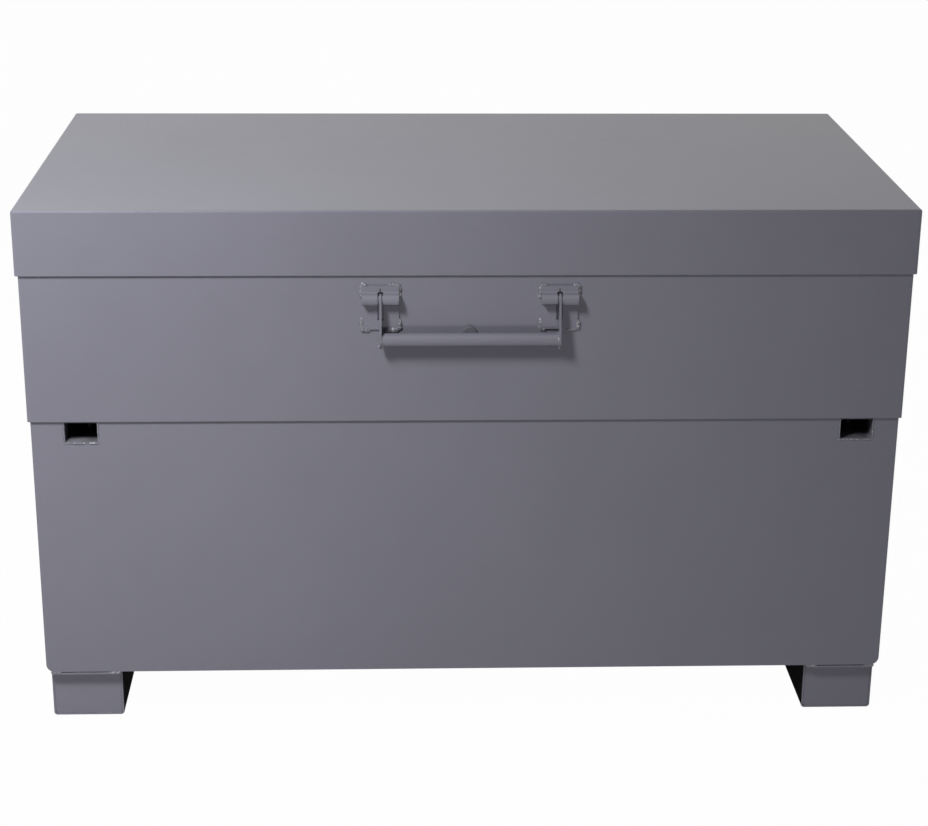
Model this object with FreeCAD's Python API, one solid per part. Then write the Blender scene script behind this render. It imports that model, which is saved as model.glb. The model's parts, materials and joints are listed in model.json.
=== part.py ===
import FreeCAD, Part

import math
import os

# Jobsite storage box: a welded sheet-steel chest on two fork skids. Its deep lid is a top pan with a
# front band and two slanting cheeks, hung on a continuous hinge, held up by two gas struts, lifted by
# a swinging bar handle and locked by two tongues that drop into recessed padlock pockets.
#
# Millimetres, +Z up, the front faces -Y, and the origin is under the middle of the whole assembly.

# ---- Overall sizes ----
lid_width = 1219.2
lid_depth = 635.0
skid_height = 76.2
body_face_height = 383.5
band_height = 209.0
cap_height = 90.0

# ---- Sheet metal ----
sheet = 1.9
bend_inside = 1.1
body_bend = 12.0
cap_corner = 1.6
lid_clearance = 1.9
hem_height = 14.0
lap_height = 20.0

# ---- Rims of the body ----
rim_overlap = 24.0
front_rim_flange = 24.0
front_rim_lip = 12.0
side_rim_flange = 20.0
back_rim_flange = 20.0
rim_notch = 3.0

# ---- Continuous hinge ----
hinge_pin_radius = 2.4
hinge_running_gap = 0.05
hinge_leaf = 1.9
hinge_gap = 0.4
hinge_notch = 0.8
hinge_leaf_height = 30.0
hinge_margin = 36.0
knuckle_count = 7
knuckle_end_gap = 0.4
back_rim_margin = 8.0

# ---- Lid stiffeners ----
stiffener_count = 2
stiffener_depth = 18.0
stiffener_crown = 36.0
stiffener_flange = 14.0
stiffener_end_gap = 52.0

# ---- Swinging lift handle ----
handle_offset = 1.4
handle_arm_spacing = 243.0
handle_base_width = 50.8
handle_base_height = 62.0
handle_base_plate = 3.0
handle_base_corner = 4.0
handle_base_drop = 14.5
keeper_width = 50.0
keeper_plate = 2.5
keeper_bend = 2.0
keeper_lip_angle = 45.0
keeper_gap = 0.15
keeper_relief_width = 1.6
keeper_relief_length = 4.8
handle_pin_radius = 6.0
handle_pin_drop = 18.0
arm_plate = 3.0
arm_wall_gap = 0.45
arm_foot_radius = 11.0
arm_bore_gap = 0.08
arm_slot_width = 7.4
arm_slot_top = 8.4
arm_slot_length = 40.2
handle_bar_radius = 9.5
handle_bar_drop = 54.3
handle_bar_standoff = 17.0
bumper_radius = 10.0
bumper_gap = 0.3
bumper_rise = 5.0

# ---- Padlock pockets ----
lock_inset = 63.5
lock_offset = 5.0
pocket_width = 45.0
pocket_height = 29.0
pocket_wall = 2.0
pocket_corner = 3.5
pocket_drop = 2.7
pocket_depth = 122.0
pocket_fit = 0.15
tongue_plate = 5.0
tongue_setback = 62.0
tongue_width = 28.0
tongue_neck = 40.0
tongue_floor_gap = 3.0
tongue_corner = 7.0
tongue_clip = 6.0
tongue_bend = 22.0
staple_gap = 0.8
shackle_hole_radius = 7.0
slot_side_gap = 1.6
slot_front_gap = 20.0
slot_back_gap = 4.0
rest_pad_height = 11.7
rest_pad_radius = 9.0
rest_gap = 0.3

# ---- Skids ----
skid_width = 101.6
skid_plate = 3.0
skid_bend = 5.0
skid_side_inset = 4.5
skid_setback = 14.0
skid_cap_gap = 1.5

# ---- Gas struts ----
lid_opening = 90.0
strut_plane_inset = 36.0
strut_foot_forward = 70.0
strut_foot_drop = 300.0
strut_head_forward = 120.0
strut_head_drop = 38.0
strut_pin_radius = 4.0
strut_pin_gap = 0.06
strut_eye_radius = 9.0
strut_eye_width = 10.0
strut_eye_neck = 14.0
strut_bracket_gap = 5.5
strut_pin_stub = 3.0
strut_tube_radius = 9.0
strut_tube_wall = 1.5
strut_rod_radius = 4.0
strut_rod_gap = 0.06
strut_gland = 9.0
strut_piston_gap = 0.1
strut_piston = 8.0
strut_piston_stop = 1.0
strut_tube_foot = 30.0
strut_open_gap = 0.3
bracket_plate = 3.0
lid_bracket_width = 64.0
lid_bracket_flange = 20.0
lid_bracket_tip = 14.0
lid_bracket_corner = 11.0
lid_bracket_straight = 7.0
foot_bracket_width = 34.0
foot_bracket_flange = 16.0
foot_bracket_face = 36.0

# ---- Places worked out from the sizes ----
hem = 2.0 * sheet
cap_half = lid_width / 2.0
band_half = cap_half - hem
body_half = band_half - sheet - lid_clearance
bend_outside = bend_inside + sheet

body_bottom = skid_height
lid_bottom = body_bottom + body_face_height
cap_bottom = lid_bottom + band_height
cap_top = cap_bottom + cap_height
front_rim = lid_bottom + rim_overlap

handle_proud = handle_bar_standoff + arm_foot_radius - hem
cap_front = -(lid_depth + handle_proud) / 2.0 + handle_proud
cap_back = cap_front + lid_depth
band_front = cap_front + hem
body_front = band_front + sheet + lid_clearance

knuckle_radius = hinge_pin_radius + hinge_running_gap + hinge_leaf
skirt_inside = cap_back - sheet
hinge_y = skirt_inside - hinge_gap - knuckle_radius
hinge_z = cap_bottom - hinge_notch - knuckle_radius
leaf_bottom = hinge_z + knuckle_radius + hinge_notch
leaf_top = leaf_bottom + hinge_leaf_height
hinge_half = cap_half - hinge_margin
body_back = hinge_y - knuckle_radius - hinge_gap
back_rim = leaf_top + back_rim_margin

rim_rise = math.atan2(back_rim - front_rim, body_back - body_front)

X_AXIS = FreeCAD.Vector(1, 0, 0)
Y_AXIS = FreeCAD.Vector(0, 1, 0)
Z_AXIS = FreeCAD.Vector(0, 0, 1)


# How far a cutting shape reaches past the material.
past = 1.0


# ---- Drawing helpers ----

def on_yz(a, b):
    """A point of a profile drawn in the YZ plane."""
    return FreeCAD.Vector(0, a, b)


def on_xz(a, b):
    """A point of a profile drawn in the XZ plane."""
    return FreeCAD.Vector(a, 0, b)


def on_xy(a, b):
    """A point of a profile drawn in the XY plane."""
    return FreeCAD.Vector(a, b, 0)


def block(x0, x1, y0, y1, z0, z1):
    """A box between two corners."""
    corner = FreeCAD.Vector(min(x0, x1), min(y0, y1), min(z0, z1))
    return Part.makeBox(abs(x1 - x0), abs(y1 - y0), abs(z1 - z0), corner)


def rounded_face(points, radii, plane):
    """A closed outline with its corners rounded to the given radii (0 leaves a corner sharp)."""
    count = len(points)
    ends = []
    for i in range(count):
        here = FreeCAD.Vector(*points[i], 0)
        before = FreeCAD.Vector(*points[i - 1], 0)
        after = FreeCAD.Vector(*points[(i + 1) % count], 0)
        if radii[i] <= 0:
            ends.append((here, None, here))
            continue
        back = (before - here).normalize()
        ahead = (after - here).normalize()
        half = math.acos(max(-1.0, min(1.0, back.dot(ahead)))) / 2.0
        reach = radii[i] / math.tan(half)
        middle = (back + ahead).normalize() * (radii[i] / math.sin(half))
        bulge = here + middle - middle.normalize() * radii[i]
        ends.append((here + back * reach, bulge, here + ahead * reach))
    edges = []
    for i in range(count):
        start, bulge, end = ends[i]
        if bulge is not None:
            edges.append(Part.Arc(plane(start.x, start.y), plane(bulge.x, bulge.y),
                                  plane(end.x, end.y)).toShape())
        following = ends[(i + 1) % count][0]
        if end.distanceToPoint(following) > 1e-6:
            edges.append(Part.makeLine(plane(end.x, end.y), plane(following.x, following.y)))
    return Part.Face(Part.Wire(edges))


def sheet_face(points, thickness, inside_radius, plane):
    """The section of a folded sheet. The points run along its left side, and it lies to their right."""
    count = len(points)
    normals = []
    for i in range(count - 1):
        run = FreeCAD.Vector(points[i + 1][0] - points[i][0], points[i + 1][1] - points[i][1], 0)
        run.normalize()
        normals.append(FreeCAD.Vector(run.y, -run.x, 0))
    left = [FreeCAD.Vector(*point, 0) for point in points]
    right = [left[0] + normals[0] * thickness]
    left_radii = [0.0]
    right_radii = [0.0]
    for i in range(1, count - 1):
        bisector = normals[i - 1] + normals[i]
        right.append(left[i] + bisector * (thickness * 2.0 / bisector.dot(bisector)))
        turns_left = normals[i - 1].cross(normals[i]).z > 0
        left_radii.append(inside_radius if turns_left else inside_radius + thickness)
        right_radii.append(inside_radius + thickness if turns_left else inside_radius)
    right.append(left[-1] + normals[-1] * thickness)
    left_radii.append(0.0)
    right_radii.append(0.0)
    outline = [(v.x, v.y) for v in left] + [(v.x, v.y) for v in reversed(right)]
    return rounded_face(outline, left_radii + right_radii[::-1], plane)


def drawn_along_x(face, x0, x1):
    """A YZ section drawn out between two X places."""
    return face.translated(X_AXIS * x0).extrude(X_AXIS * (x1 - x0))


def drawn_along_y(face, y0, y1):
    """An XZ section drawn out between two Y places."""
    return face.translated(Y_AXIS * y0).extrude(Y_AXIS * (y1 - y0))


def drawn_along_z(face, z0, z1):
    """An XY section drawn out between two Z places."""
    return face.translated(Z_AXIS * z0).extrude(Z_AXIS * (z1 - z0))


def rod(x, y, z, axis, radius, length):
    """A round bar from a point along an axis."""
    return Part.makeCylinder(radius, length, FreeCAD.Vector(x, y, z), axis)


def rounded_block(x0, x1, y0, y1, z0, z1, radius):
    """A box with the four edges along Y rounded."""
    corners = [(x0, z0), (x1, z0), (x1, z1), (x0, z1)]
    return drawn_along_y(rounded_face(corners, [radius] * 4, on_xz), y0, y1)


def link_face(centre_a, radius_a, centre_b, radius_b, plane):
    """The outline of a flat link: two round ends joined by straight tangents."""
    a = FreeCAD.Vector(*centre_a, 0)
    b = FreeCAD.Vector(*centre_b, 0)
    run = (b - a).normalize()
    side = FreeCAD.Vector(-run.y, run.x, 0)
    lean = (radius_a - radius_b) / a.distanceToPoint(b)
    rise = math.sqrt(1.0 - lean * lean)
    up = run * lean + side * rise
    down = run * lean - side * rise
    corners = [a + up * radius_a, a - run * radius_a, a + down * radius_a,
               b + down * radius_b, b + run * radius_b, b + up * radius_b]
    p = [plane(v.x, v.y) for v in corners]
    edges = [Part.Arc(p[0], p[1], p[2]).toShape(), Part.makeLine(p[2], p[3]),
             Part.Arc(p[3], p[4], p[5]).toShape(), Part.makeLine(p[5], p[0])]
    return Part.Face(Part.Wire(edges))


def mirrored(shape):
    """The same piece on the other side of the box."""
    return shape.mirror(FreeCAD.Vector(0, 0, 0), X_AXIS)


# ---- Lid ----

def rim_line(y):
    """Height of the body's slanting side rim at a depth."""
    return front_rim + (y - body_front) * math.tan(rim_rise)


def cheek_line(y):
    """Height of the lower edge of the lid's cheeks at a depth."""
    return lid_bottom + (y - band_front) * math.tan(rim_rise)


def pan_block(inset, bottom, top, corner):
    """A plain block with rounded upright edges, set in from the lid's outline."""
    face_corners = [(-cap_half + inset, cap_front + inset), (cap_half - inset, cap_front + inset),
                    (cap_half - inset, cap_back - inset), (-cap_half + inset, cap_back - inset)]
    return drawn_along_z(rounded_face(face_corners, [corner] * 4, on_xy), bottom, top)


def lid_cap():
    """Top pan: plate, skirt and, at the front and sides, a hem folded in along the skirt's edge."""
    outside = pan_block(0.0, cap_bottom, cap_top, cap_corner + sheet)
    top_edges = [edge for edge in outside.Edges
                 if all(abs(vertex.Z - cap_top) < 1e-6 for vertex in edge.Vertexes)]
    outside = outside.makeFillet(bend_outside, top_edges)
    inside = pan_block(sheet, cap_bottom - past, cap_top - sheet, cap_corner)
    pan = outside.cut(inside)
    fold = pan_block(sheet, cap_bottom, cap_bottom + hem_height, cap_corner)
    fold = fold.cut(block(-band_half, band_half, band_front, cap_back, 0, cap_top))
    fold = fold.cut(block(-cap_half, cap_half, skirt_inside - hem, cap_back, 0, cap_top))
    return pan.fuse(fold).removeSplitter()


def lid_front_band():
    """Front band below the cap, with the bends that lead round to the cheeks."""
    run = [(-band_half, band_front + bend_outside), (-band_half, band_front),
           (band_half, band_front), (band_half, band_front + bend_outside)]
    section = sheet_face([(x, y) for x, y in reversed(run)], sheet, bend_inside, on_xy)
    return drawn_along_z(section, lid_bottom, cap_bottom + lap_height)


def lid_cheek():
    """Right cheek: it tapers from the full band at the front to nothing at the skirt."""
    y0 = band_front + bend_outside
    y1 = band_front + band_height / math.tan(rim_rise)
    outline = [(y0, cheek_line(y0)), (y1, cap_bottom), (y1, cap_bottom + lap_height),
               (y0, cap_bottom + lap_height)]
    face = rounded_face(outline, [0.0] * 4, on_yz)
    return drawn_along_x(face, band_half - sheet, band_half)


def lid_stiffeners():
    """Hat sections spot-welded under the cap, evenly spread over its depth."""
    solids = []
    under = cap_top - sheet
    for i in range(stiffener_count):
        y = cap_front + lid_depth * (i + 1) / (stiffener_count + 1)
        half = stiffener_crown / 2.0
        run = [(y - half - stiffener_flange, under), (y - half, under),
               (y - half, under - stiffener_depth), (y + half, under - stiffener_depth),
               (y + half, under), (y + half + stiffener_flange, under)]
        section = sheet_face(run, sheet, 0.0, on_yz)
        solids.append(drawn_along_x(section, -cap_half + stiffener_end_gap, cap_half - stiffener_end_gap))
    return Part.makeCompound(solids)


# ---- Body ----

def body_wrapper():
    """Sides and floor in one bent sheet, with slanting rims folded inwards along both side walls."""
    y0 = body_front + sheet
    y1 = body_back - sheet
    run = [(body_half, back_rim), (body_half, body_bottom), (-body_half, body_bottom), (-body_half, back_rim)]
    wrapper = drawn_along_y(sheet_face(run, sheet, body_bend - sheet, on_xz), y0, y1)
    above = rounded_face([(y0 - past, rim_line(y0 - past)), (y1 + past, rim_line(y1 + past)),
                          (y1 + past, cap_top), (y0 - past, cap_top)], [0.0] * 4, on_yz)
    wrapper = wrapper.cut(drawn_along_x(above, -cap_half, cap_half))
    between_ends = block(-cap_half, cap_half, body_front + front_rim_flange + rim_notch,
                         body_back - back_rim_flange - rim_notch, 0, cap_top)
    bend_height = bend_outside / math.cos(rim_rise)
    bent_zone = drawn_along_x(above.translated(Z_AXIS * -bend_height), -cap_half, cap_half)
    wrapper = wrapper.cut(bent_zone.common(between_ends))
    rim = side_rim().common(between_ends)
    return wrapper.fuse([rim, mirrored(rim)]).removeSplitter()


def side_rim():
    """Right side rim: a bent edge that follows the slope."""
    lean = FreeCAD.Vector(0, math.cos(rim_rise), math.sin(rim_rise))
    upright = FreeCAD.Vector(0, -math.sin(rim_rise), math.cos(rim_rise))
    start = FreeCAD.Vector(0, body_front, front_rim)

    def on_slope(a, b):
        return start + X_AXIS * a + upright * b

    run = [(body_half - side_rim_flange, 0.0), (body_half, 0.0), (body_half, -bend_outside)]
    section = sheet_face(run, sheet, bend_inside, on_slope)
    return section.extrude(lean * (body_back - body_front) / math.cos(rim_rise))


def panel_outline(y0, y1):
    """Prism with the body's width and rounded lower corners, for trimming its end panels."""
    corners = [(-body_half, body_bottom), (body_half, body_bottom), (body_half, cap_top),
               (-body_half, cap_top)]
    return drawn_along_y(rounded_face(corners, [body_bend, body_bend, 0.0, 0.0], on_xz), y0, y1)


def end_panel(run, wall_y0, wall_y1):
    """A panel with a rim folded inwards that stops short of the side walls."""
    panel = drawn_along_x(sheet_face(run, sheet, bend_inside, on_yz), -body_half, body_half)
    panel = panel.common(panel_outline(body_front, body_back))
    rim_half = body_half - sheet - side_rim_flange - rim_notch
    wall = block(-cap_half, cap_half, wall_y0, wall_y1, 0, cap_top)
    middle = block(-rim_half, rim_half, body_front, body_back, 0, cap_top)
    return panel.common(wall.fuse(middle)).removeSplitter()


def front_panel():
    """Front of the body: it ends in a folded rim behind the lid's band and holds the pocket holes."""
    run = [(body_front, body_bottom), (body_front, front_rim), (body_front + front_rim_flange, front_rim),
           (body_front + front_rim_flange, front_rim - front_rim_lip)]
    panel = end_panel(run, body_front, body_front + sheet)
    grow = pocket_wall + pocket_fit
    for x in pocket_places():
        panel = panel.cut(rounded_block(x - pocket_width / 2 - grow, x + pocket_width / 2 + grow,
                                        body_front - past, body_front + sheet + past,
                                        pocket_floor() - grow, pocket_floor() + pocket_height + grow,
                                        pocket_corner + grow))
    return panel


def back_panel():
    """Back of the body, carrying the hinge below its folded rim."""
    run = [(body_back - back_rim_flange, back_rim), (body_back, back_rim), (body_back, body_bottom)]
    return end_panel(run, body_back - sheet, body_back)


# ---- Continuous hinge ----

def knuckle_span(i):
    """X range of one knuckle, with half the end gap left at both of its ends."""
    pitch = 2.0 * hinge_half / knuckle_count
    left = -hinge_half + i * pitch
    return left + knuckle_end_gap / 2, left + pitch - knuckle_end_gap / 2


def hinge_leaf_part(first, leaf_y0, leaf_y1):
    """One leaf with every second knuckle rolled at its lower edge."""
    leaf = block(-hinge_half, hinge_half, leaf_y0, leaf_y1, leaf_bottom, leaf_top)
    rolls = []
    for i in range(first, knuckle_count, 2):
        x0, x1 = knuckle_span(i)
        rolls.append(rod(x0, hinge_y, hinge_z, X_AXIS, knuckle_radius, x1 - x0))
        rolls.append(block(x0, x1, leaf_y0, leaf_y1, hinge_z, leaf_bottom))
    leaf = leaf.fuse(rolls).removeSplitter()
    bore = rod(-cap_half, hinge_y, hinge_z, X_AXIS, hinge_pin_radius + hinge_running_gap, lid_width)
    return leaf.cut(bore)


def hinge_body_leaf():
    """Leaf welded to the outside of the back panel."""
    return hinge_leaf_part(0, body_back, body_back + hinge_leaf)


def hinge_lid_leaf():
    """Leaf welded inside the lid's back skirt."""
    return hinge_leaf_part(1, skirt_inside - hinge_leaf, skirt_inside)


def hinge_pin():
    """Hinge pin as long as the leaves."""
    return rod(-hinge_half, hinge_y, hinge_z, X_AXIS, hinge_pin_radius, 2.0 * hinge_half)


# ---- Lift handle ----

pin_standoff = handle_base_plate + keeper_gap + handle_pin_radius
pin_y = band_front - pin_standoff
base_top = cap_bottom - handle_base_drop
pin_z = base_top - handle_pin_drop
bar_y = band_front - handle_bar_standoff
bar_z = pin_z - handle_bar_drop


def arm_x(side):
    """Middle of a handle arm, for side -1 (left) or 1 (right)."""
    return handle_offset + side * handle_arm_spacing / 2.0


def arm_slot(side):
    """Space for the arm to swing through the base plate and the keeper."""
    x = arm_x(side)
    top = base_top - arm_slot_top
    return block(x - arm_slot_width / 2, x + arm_slot_width / 2, band_front - lid_depth,
                 band_front + past, top - arm_slot_length, top)


def keeper_relief(side):
    """Narrow cut above the arm's slot that lets the strap's two halves be formed."""
    x = arm_x(side)
    top = base_top - arm_slot_top
    return block(x - keeper_relief_width / 2, x + keeper_relief_width / 2, band_front - lid_depth,
                 band_front - handle_base_plate + past, top - past, top + keeper_relief_length)


def handle_base(side):
    """Base plate welded on the band, slotted for the arm."""
    x = arm_x(side)
    plate = rounded_block(x - handle_base_width / 2, x + handle_base_width / 2,
                          band_front - handle_base_plate, band_front,
                          base_top - handle_base_height, base_top, handle_base_corner)
    return plate.cut(arm_slot(side))


def handle_keeper(side):
    """Strap formed over the pivot pin: a flat flange above, a round hump and an open lip below."""
    flat = handle_base_plate
    inner = handle_pin_radius + keeper_gap
    outer = inner + keeper_plate
    wide = keeper_bend + keeper_plate
    bend_x = flat + keeper_plate + keeper_bend
    bend_z = math.sqrt((outer + keeper_bend) ** 2 - (bend_x - pin_standoff) ** 2)
    towards = math.atan2(bend_z, bend_x - pin_standoff)
    lip = -math.radians(keeper_lip_angle)
    middle = (towards + lip) / 2.0
    start = math.pi
    halfway = (start + towards + math.pi) / 2.0
    bend_y = band_front - bend_x

    def around_pin(radius, angle):
        return on_yz(pin_y - radius * math.cos(angle), pin_z + radius * math.sin(angle))

    def around_bend(radius, angle):
        return on_yz(bend_y - radius * math.cos(angle), pin_z + bend_z + radius * math.sin(angle))

    top_in = on_yz(band_front - flat, base_top)
    top_out = on_yz(band_front - flat - keeper_plate, base_top)
    edges = [
        Part.makeLine(top_in, around_bend(wide, start)),
        Part.Arc(around_bend(wide, start), around_bend(wide, halfway),
                 around_bend(wide, towards + math.pi)).toShape(),
        Part.Arc(around_pin(inner, towards), around_pin(inner, middle), around_pin(inner, lip)).toShape(),
        Part.makeLine(around_pin(inner, lip), around_pin(outer, lip)),
        Part.Arc(around_pin(outer, lip), around_pin(outer, middle), around_pin(outer, towards)).toShape(),
        Part.Arc(around_bend(keeper_bend, towards + math.pi), around_bend(keeper_bend, halfway),
                 around_bend(keeper_bend, start)).toShape(),
        Part.makeLine(around_bend(keeper_bend, start), top_out),
        Part.makeLine(top_out, top_in),
    ]
    face = Part.Face(Part.Wire(edges))
    x = arm_x(side)
    strap = drawn_along_x(face, x - keeper_width / 2, x + keeper_width / 2)
    return strap.cut(arm_slot(side)).cut(keeper_relief(side))


def handle_pin(side):
    """Pivot pin trapped between the keeper and the base plate."""
    return rod(arm_x(side) - keeper_width / 2, pin_y, pin_z, X_AXIS, handle_pin_radius, keeper_width)


def handle_arm(side):
    """Flat arm: a tapered link from the pivot pin down to the bar."""
    head = pin_standoff - arm_wall_gap
    x = arm_x(side)
    face = link_face((pin_y, pin_z), head, (bar_y, bar_z), arm_foot_radius, on_yz)
    arm = drawn_along_x(face, x - arm_plate / 2, x + arm_plate / 2)
    return arm.cut(rod(x - arm_plate, pin_y, pin_z, X_AXIS, handle_pin_radius + arm_bore_gap, arm_plate * 2))


def handle_bar():
    """Round bar between the arms."""
    x0 = arm_x(-1) + arm_plate / 2
    x1 = arm_x(1) - arm_plate / 2
    return rod(x0, bar_y, bar_z, X_AXIS, handle_bar_radius, x1 - x0)


def handle_bumper():
    """Painted stop button on the band that the hanging bar comes to rest on."""
    height = handle_bar_standoff - handle_bar_radius - bumper_gap
    return rod(handle_offset, band_front, bar_z + bumper_rise, -Y_AXIS, bumper_radius, height)


# ---- Padlock pockets ----

def pocket_places():
    """X places of the two pockets."""
    return [lock_offset - body_half + lock_inset, lock_offset + body_half - lock_inset]


def pocket_floor():
    """Height of the pocket's inner floor."""
    return lid_bottom - pocket_drop - pocket_height


tongue_front = body_front + tongue_setback
tongue_back = tongue_front + tongue_width
tongue_tip = pocket_floor() + tongue_floor_gap
shackle_y = (tongue_front + tongue_back) / 2.0
shackle_z = pocket_floor() + pocket_height / 2.0
neck_bottom = front_rim + rest_pad_height + rest_gap


def tongue_x(x):
    """X range of the lid's tongue in a pocket. The staple stands beside it."""
    return x - tongue_plate - staple_gap / 2, x - staple_gap / 2


def shackle_hole(x):
    """Hole for a padlock shackle through the tongue and the staple."""
    return rod(x - pocket_width / 2, shackle_y, shackle_z, X_AXIS, shackle_hole_radius, pocket_width)


def lock_pocket(x):
    """Tube with a closed end behind the front panel, slotted above for the tongue."""
    half = pocket_width / 2
    floor = pocket_floor()
    back = body_front + pocket_depth
    outside = rounded_block(x - half - pocket_wall, x + half + pocket_wall, body_front, back,
                            floor - pocket_wall, floor + pocket_height + pocket_wall,
                            pocket_corner + pocket_wall)
    inside = rounded_block(x - half, x + half, body_front - past, back - pocket_wall,
                           floor, floor + pocket_height, pocket_corner)
    x0, x1 = tongue_x(x)
    slot = block(x0 - slot_side_gap, x1 + slot_side_gap, tongue_front - slot_front_gap,
                 tongue_back + slot_back_gap, shackle_z, front_rim)
    return outside.cut(inside).cut(slot)


def lock_staple(x):
    """Fixed plate on the pocket's floor with the hole that lines up with the tongue's."""
    x0 = x + staple_gap / 2
    floor = pocket_floor()
    top = floor + pocket_height
    outline = [(tongue_front, floor), (tongue_back, floor), (tongue_back, top - tongue_clip),
               (tongue_back - tongue_clip, top), (tongue_front + tongue_clip, top),
               (tongue_front, top - tongue_clip)]
    face = rounded_face(outline, [0.0] * len(outline), on_yz)
    return drawn_along_x(face, x0, x0 + tongue_plate).cut(shackle_hole(x))


def lock_tongue(x):
    """Hooked plate on the lid: it reaches over the front rim and down into the pocket."""
    root = band_front + sheet
    neck_top = neck_bottom + tongue_neck
    shoulder = tongue_tip + tongue_clip
    outline = [(root, neck_bottom), (tongue_front, neck_bottom), (tongue_front, shoulder),
               (tongue_front + tongue_clip, tongue_tip), (tongue_back - tongue_clip, tongue_tip),
               (tongue_back, shoulder), (tongue_back, neck_top), (root, neck_top)]
    radii = [0.0, tongue_corner, 0.0, 0.0, 0.0, 0.0, tongue_bend, 0.0]
    x0, x1 = tongue_x(x)
    return drawn_along_x(rounded_face(outline, radii, on_yz), x0, x1).cut(shackle_hole(x))


def lid_rest_pads():
    """Rubber buttons on the front rim, one under each tongue, that the closed lid rests on."""
    pads = []
    for x in pocket_places():
        x0, x1 = tongue_x(x)
        y = body_front + bend_outside + rest_pad_radius
        pads.append(rod((x0 + x1) / 2, y, front_rim, Z_AXIS, rest_pad_radius, rest_pad_height))
    return Part.makeCompound(pads)


# ---- Skids ----

skid_outside = body_half - skid_side_inset
skid_front = body_front + skid_setback
skid_back = body_back - skid_setback


def skid():
    """Right skid: a channel, open upwards, welded along the floor of the body."""
    inner = skid_outside - skid_width
    run = [(skid_outside, skid_height), (skid_outside, 0.0), (inner, 0.0), (inner, skid_height)]
    return drawn_along_y(sheet_face(run, skid_plate, skid_bend - skid_plate, on_xz), skid_front, skid_back)


def skid_ends():
    """Plates that close both ends of both skids, with a lip turned out and clipped lower corners."""
    top = skid_height - skid_cap_gap
    x0 = skid_outside - skid_width + skid_plate
    x1 = skid_outside - skid_plate
    run = [(body_front, top), (skid_front + skid_plate, top), (skid_front + skid_plate, skid_plate)]
    plate = drawn_along_x(sheet_face(run, skid_plate, bend_inside, on_yz), x0, x1)
    clip = skid_bend - skid_plate
    outline = [(x0 + clip, skid_plate), (x1 - clip, skid_plate), (x1, skid_plate + clip),
               (x1, skid_height), (x0, skid_height), (x0, skid_plate + clip)]
    between = rounded_face(outline, [0.0] * len(outline), on_xz)
    plate = plate.common(drawn_along_y(between, body_front, skid_front + skid_plate))
    middle = (skid_front + skid_back) / 2.0
    far = plate.mirror(FreeCAD.Vector(0, middle, 0), Y_AXIS)
    return Part.makeCompound([plate, far, mirrored(plate), mirrored(far)])


# ---- Gas struts (right side; the left ones are mirrored) ----

strut_x = body_half - strut_plane_inset
bracket_face = strut_x + strut_eye_width / 2 + strut_bracket_gap
foot_y = hinge_y - strut_foot_forward
foot_z = hinge_z - strut_foot_drop
head_y = hinge_y - strut_head_forward
head_z = hinge_z - strut_head_drop


def strut_line(angle):
    """Length and slope of the strut, from foot to head, with the lid opened by an angle."""
    reach = math.hypot(strut_head_forward, strut_head_drop)
    turned = math.atan2(-strut_head_drop, strut_head_forward) + math.radians(angle)
    forward = reach * math.cos(turned) - strut_foot_forward
    upward = reach * math.sin(turned) + strut_foot_drop
    return math.hypot(forward, upward), math.atan2(upward, forward)


closed_length, closed_slope = strut_line(0.0)
open_length, open_slope = strut_line(lid_opening)
stroke = open_length - closed_length
strut_up = FreeCAD.Vector(0, -math.cos(closed_slope), math.sin(closed_slope))
strut_foot = FreeCAD.Vector(strut_x, foot_y, foot_z)
strut_head = FreeCAD.Vector(strut_x, head_y, head_z)


def round_along_strut(profile):
    """A turned piece on the strut's line. The profile's points are (distance from foot, radius)."""
    across = X_AXIS
    points = [strut_foot + strut_up * along + across * radius for along, radius in profile]
    face = Part.Face(Part.makePolygon(points + [points[0]]))
    return face.revolve(strut_foot, strut_up, 360)


def strut_eye(centre, towards):
    """Flat forged eye: round about its bore and squared off where it takes the rod or the tube."""
    half = strut_eye_width / 2
    across = X_AXIS.cross(towards) * strut_eye_radius
    foot = towards * strut_eye_neck
    sides = [centre + across, centre - towards * strut_eye_radius, centre - across,
             centre - across + foot, centre + across + foot]
    edges = [Part.Arc(sides[0], sides[1], sides[2]).toShape(), Part.makeLine(sides[2], sides[3]),
             Part.makeLine(sides[3], sides[4]), Part.makeLine(sides[4], sides[0])]
    eye = Part.Face(Part.Wire(edges)).translated(X_AXIS * -half).extrude(X_AXIS * strut_eye_width)
    bore = rod(centre.x - half, centre.y, centre.z, X_AXIS, strut_pin_radius + strut_pin_gap, strut_eye_width)
    return eye.cut(bore)


def strut_rod():
    """Piston rod with its forged eye below and its piston inside the tube."""
    piston_low = strut_tube_foot + strut_gland + stroke + strut_piston_stop
    piston_radius = strut_tube_radius - strut_tube_wall - strut_piston_gap
    shaft = round_along_strut([(strut_eye_neck, 0.0), (strut_eye_neck, strut_rod_radius),
                               (piston_low, strut_rod_radius), (piston_low, piston_radius),
                               (piston_low + strut_piston, piston_radius),
                               (piston_low + strut_piston, 0.0)])
    return shaft.fuse(strut_eye(strut_foot, strut_up))


def strut_tube():
    """Pressure tube: closed above by its eye, with a gland below that the rod slides through."""
    low = strut_tube_foot
    top = closed_length - strut_eye_neck
    inner_top = top - 2.0 * strut_tube_wall
    bore = strut_tube_radius - strut_tube_wall
    guide = strut_rod_radius + strut_rod_gap
    tube = round_along_strut([(low, guide), (low, strut_tube_radius), (top, strut_tube_radius), (top, 0.0),
                              (inner_top, 0.0), (inner_top, bore), (low + strut_gland, bore),
                              (low + strut_gland, guide)])
    return tube.fuse(strut_eye(strut_head, -strut_up))


def strut_pin(centre, outer_end):
    """Pin through an eye, with a stub on the inner side of the box for its clip."""
    inner_end = centre.x - strut_eye_width / 2 - strut_pin_stub
    return rod(inner_end, centre.y, centre.z, X_AXIS, strut_pin_radius, outer_end - inner_end)


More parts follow.
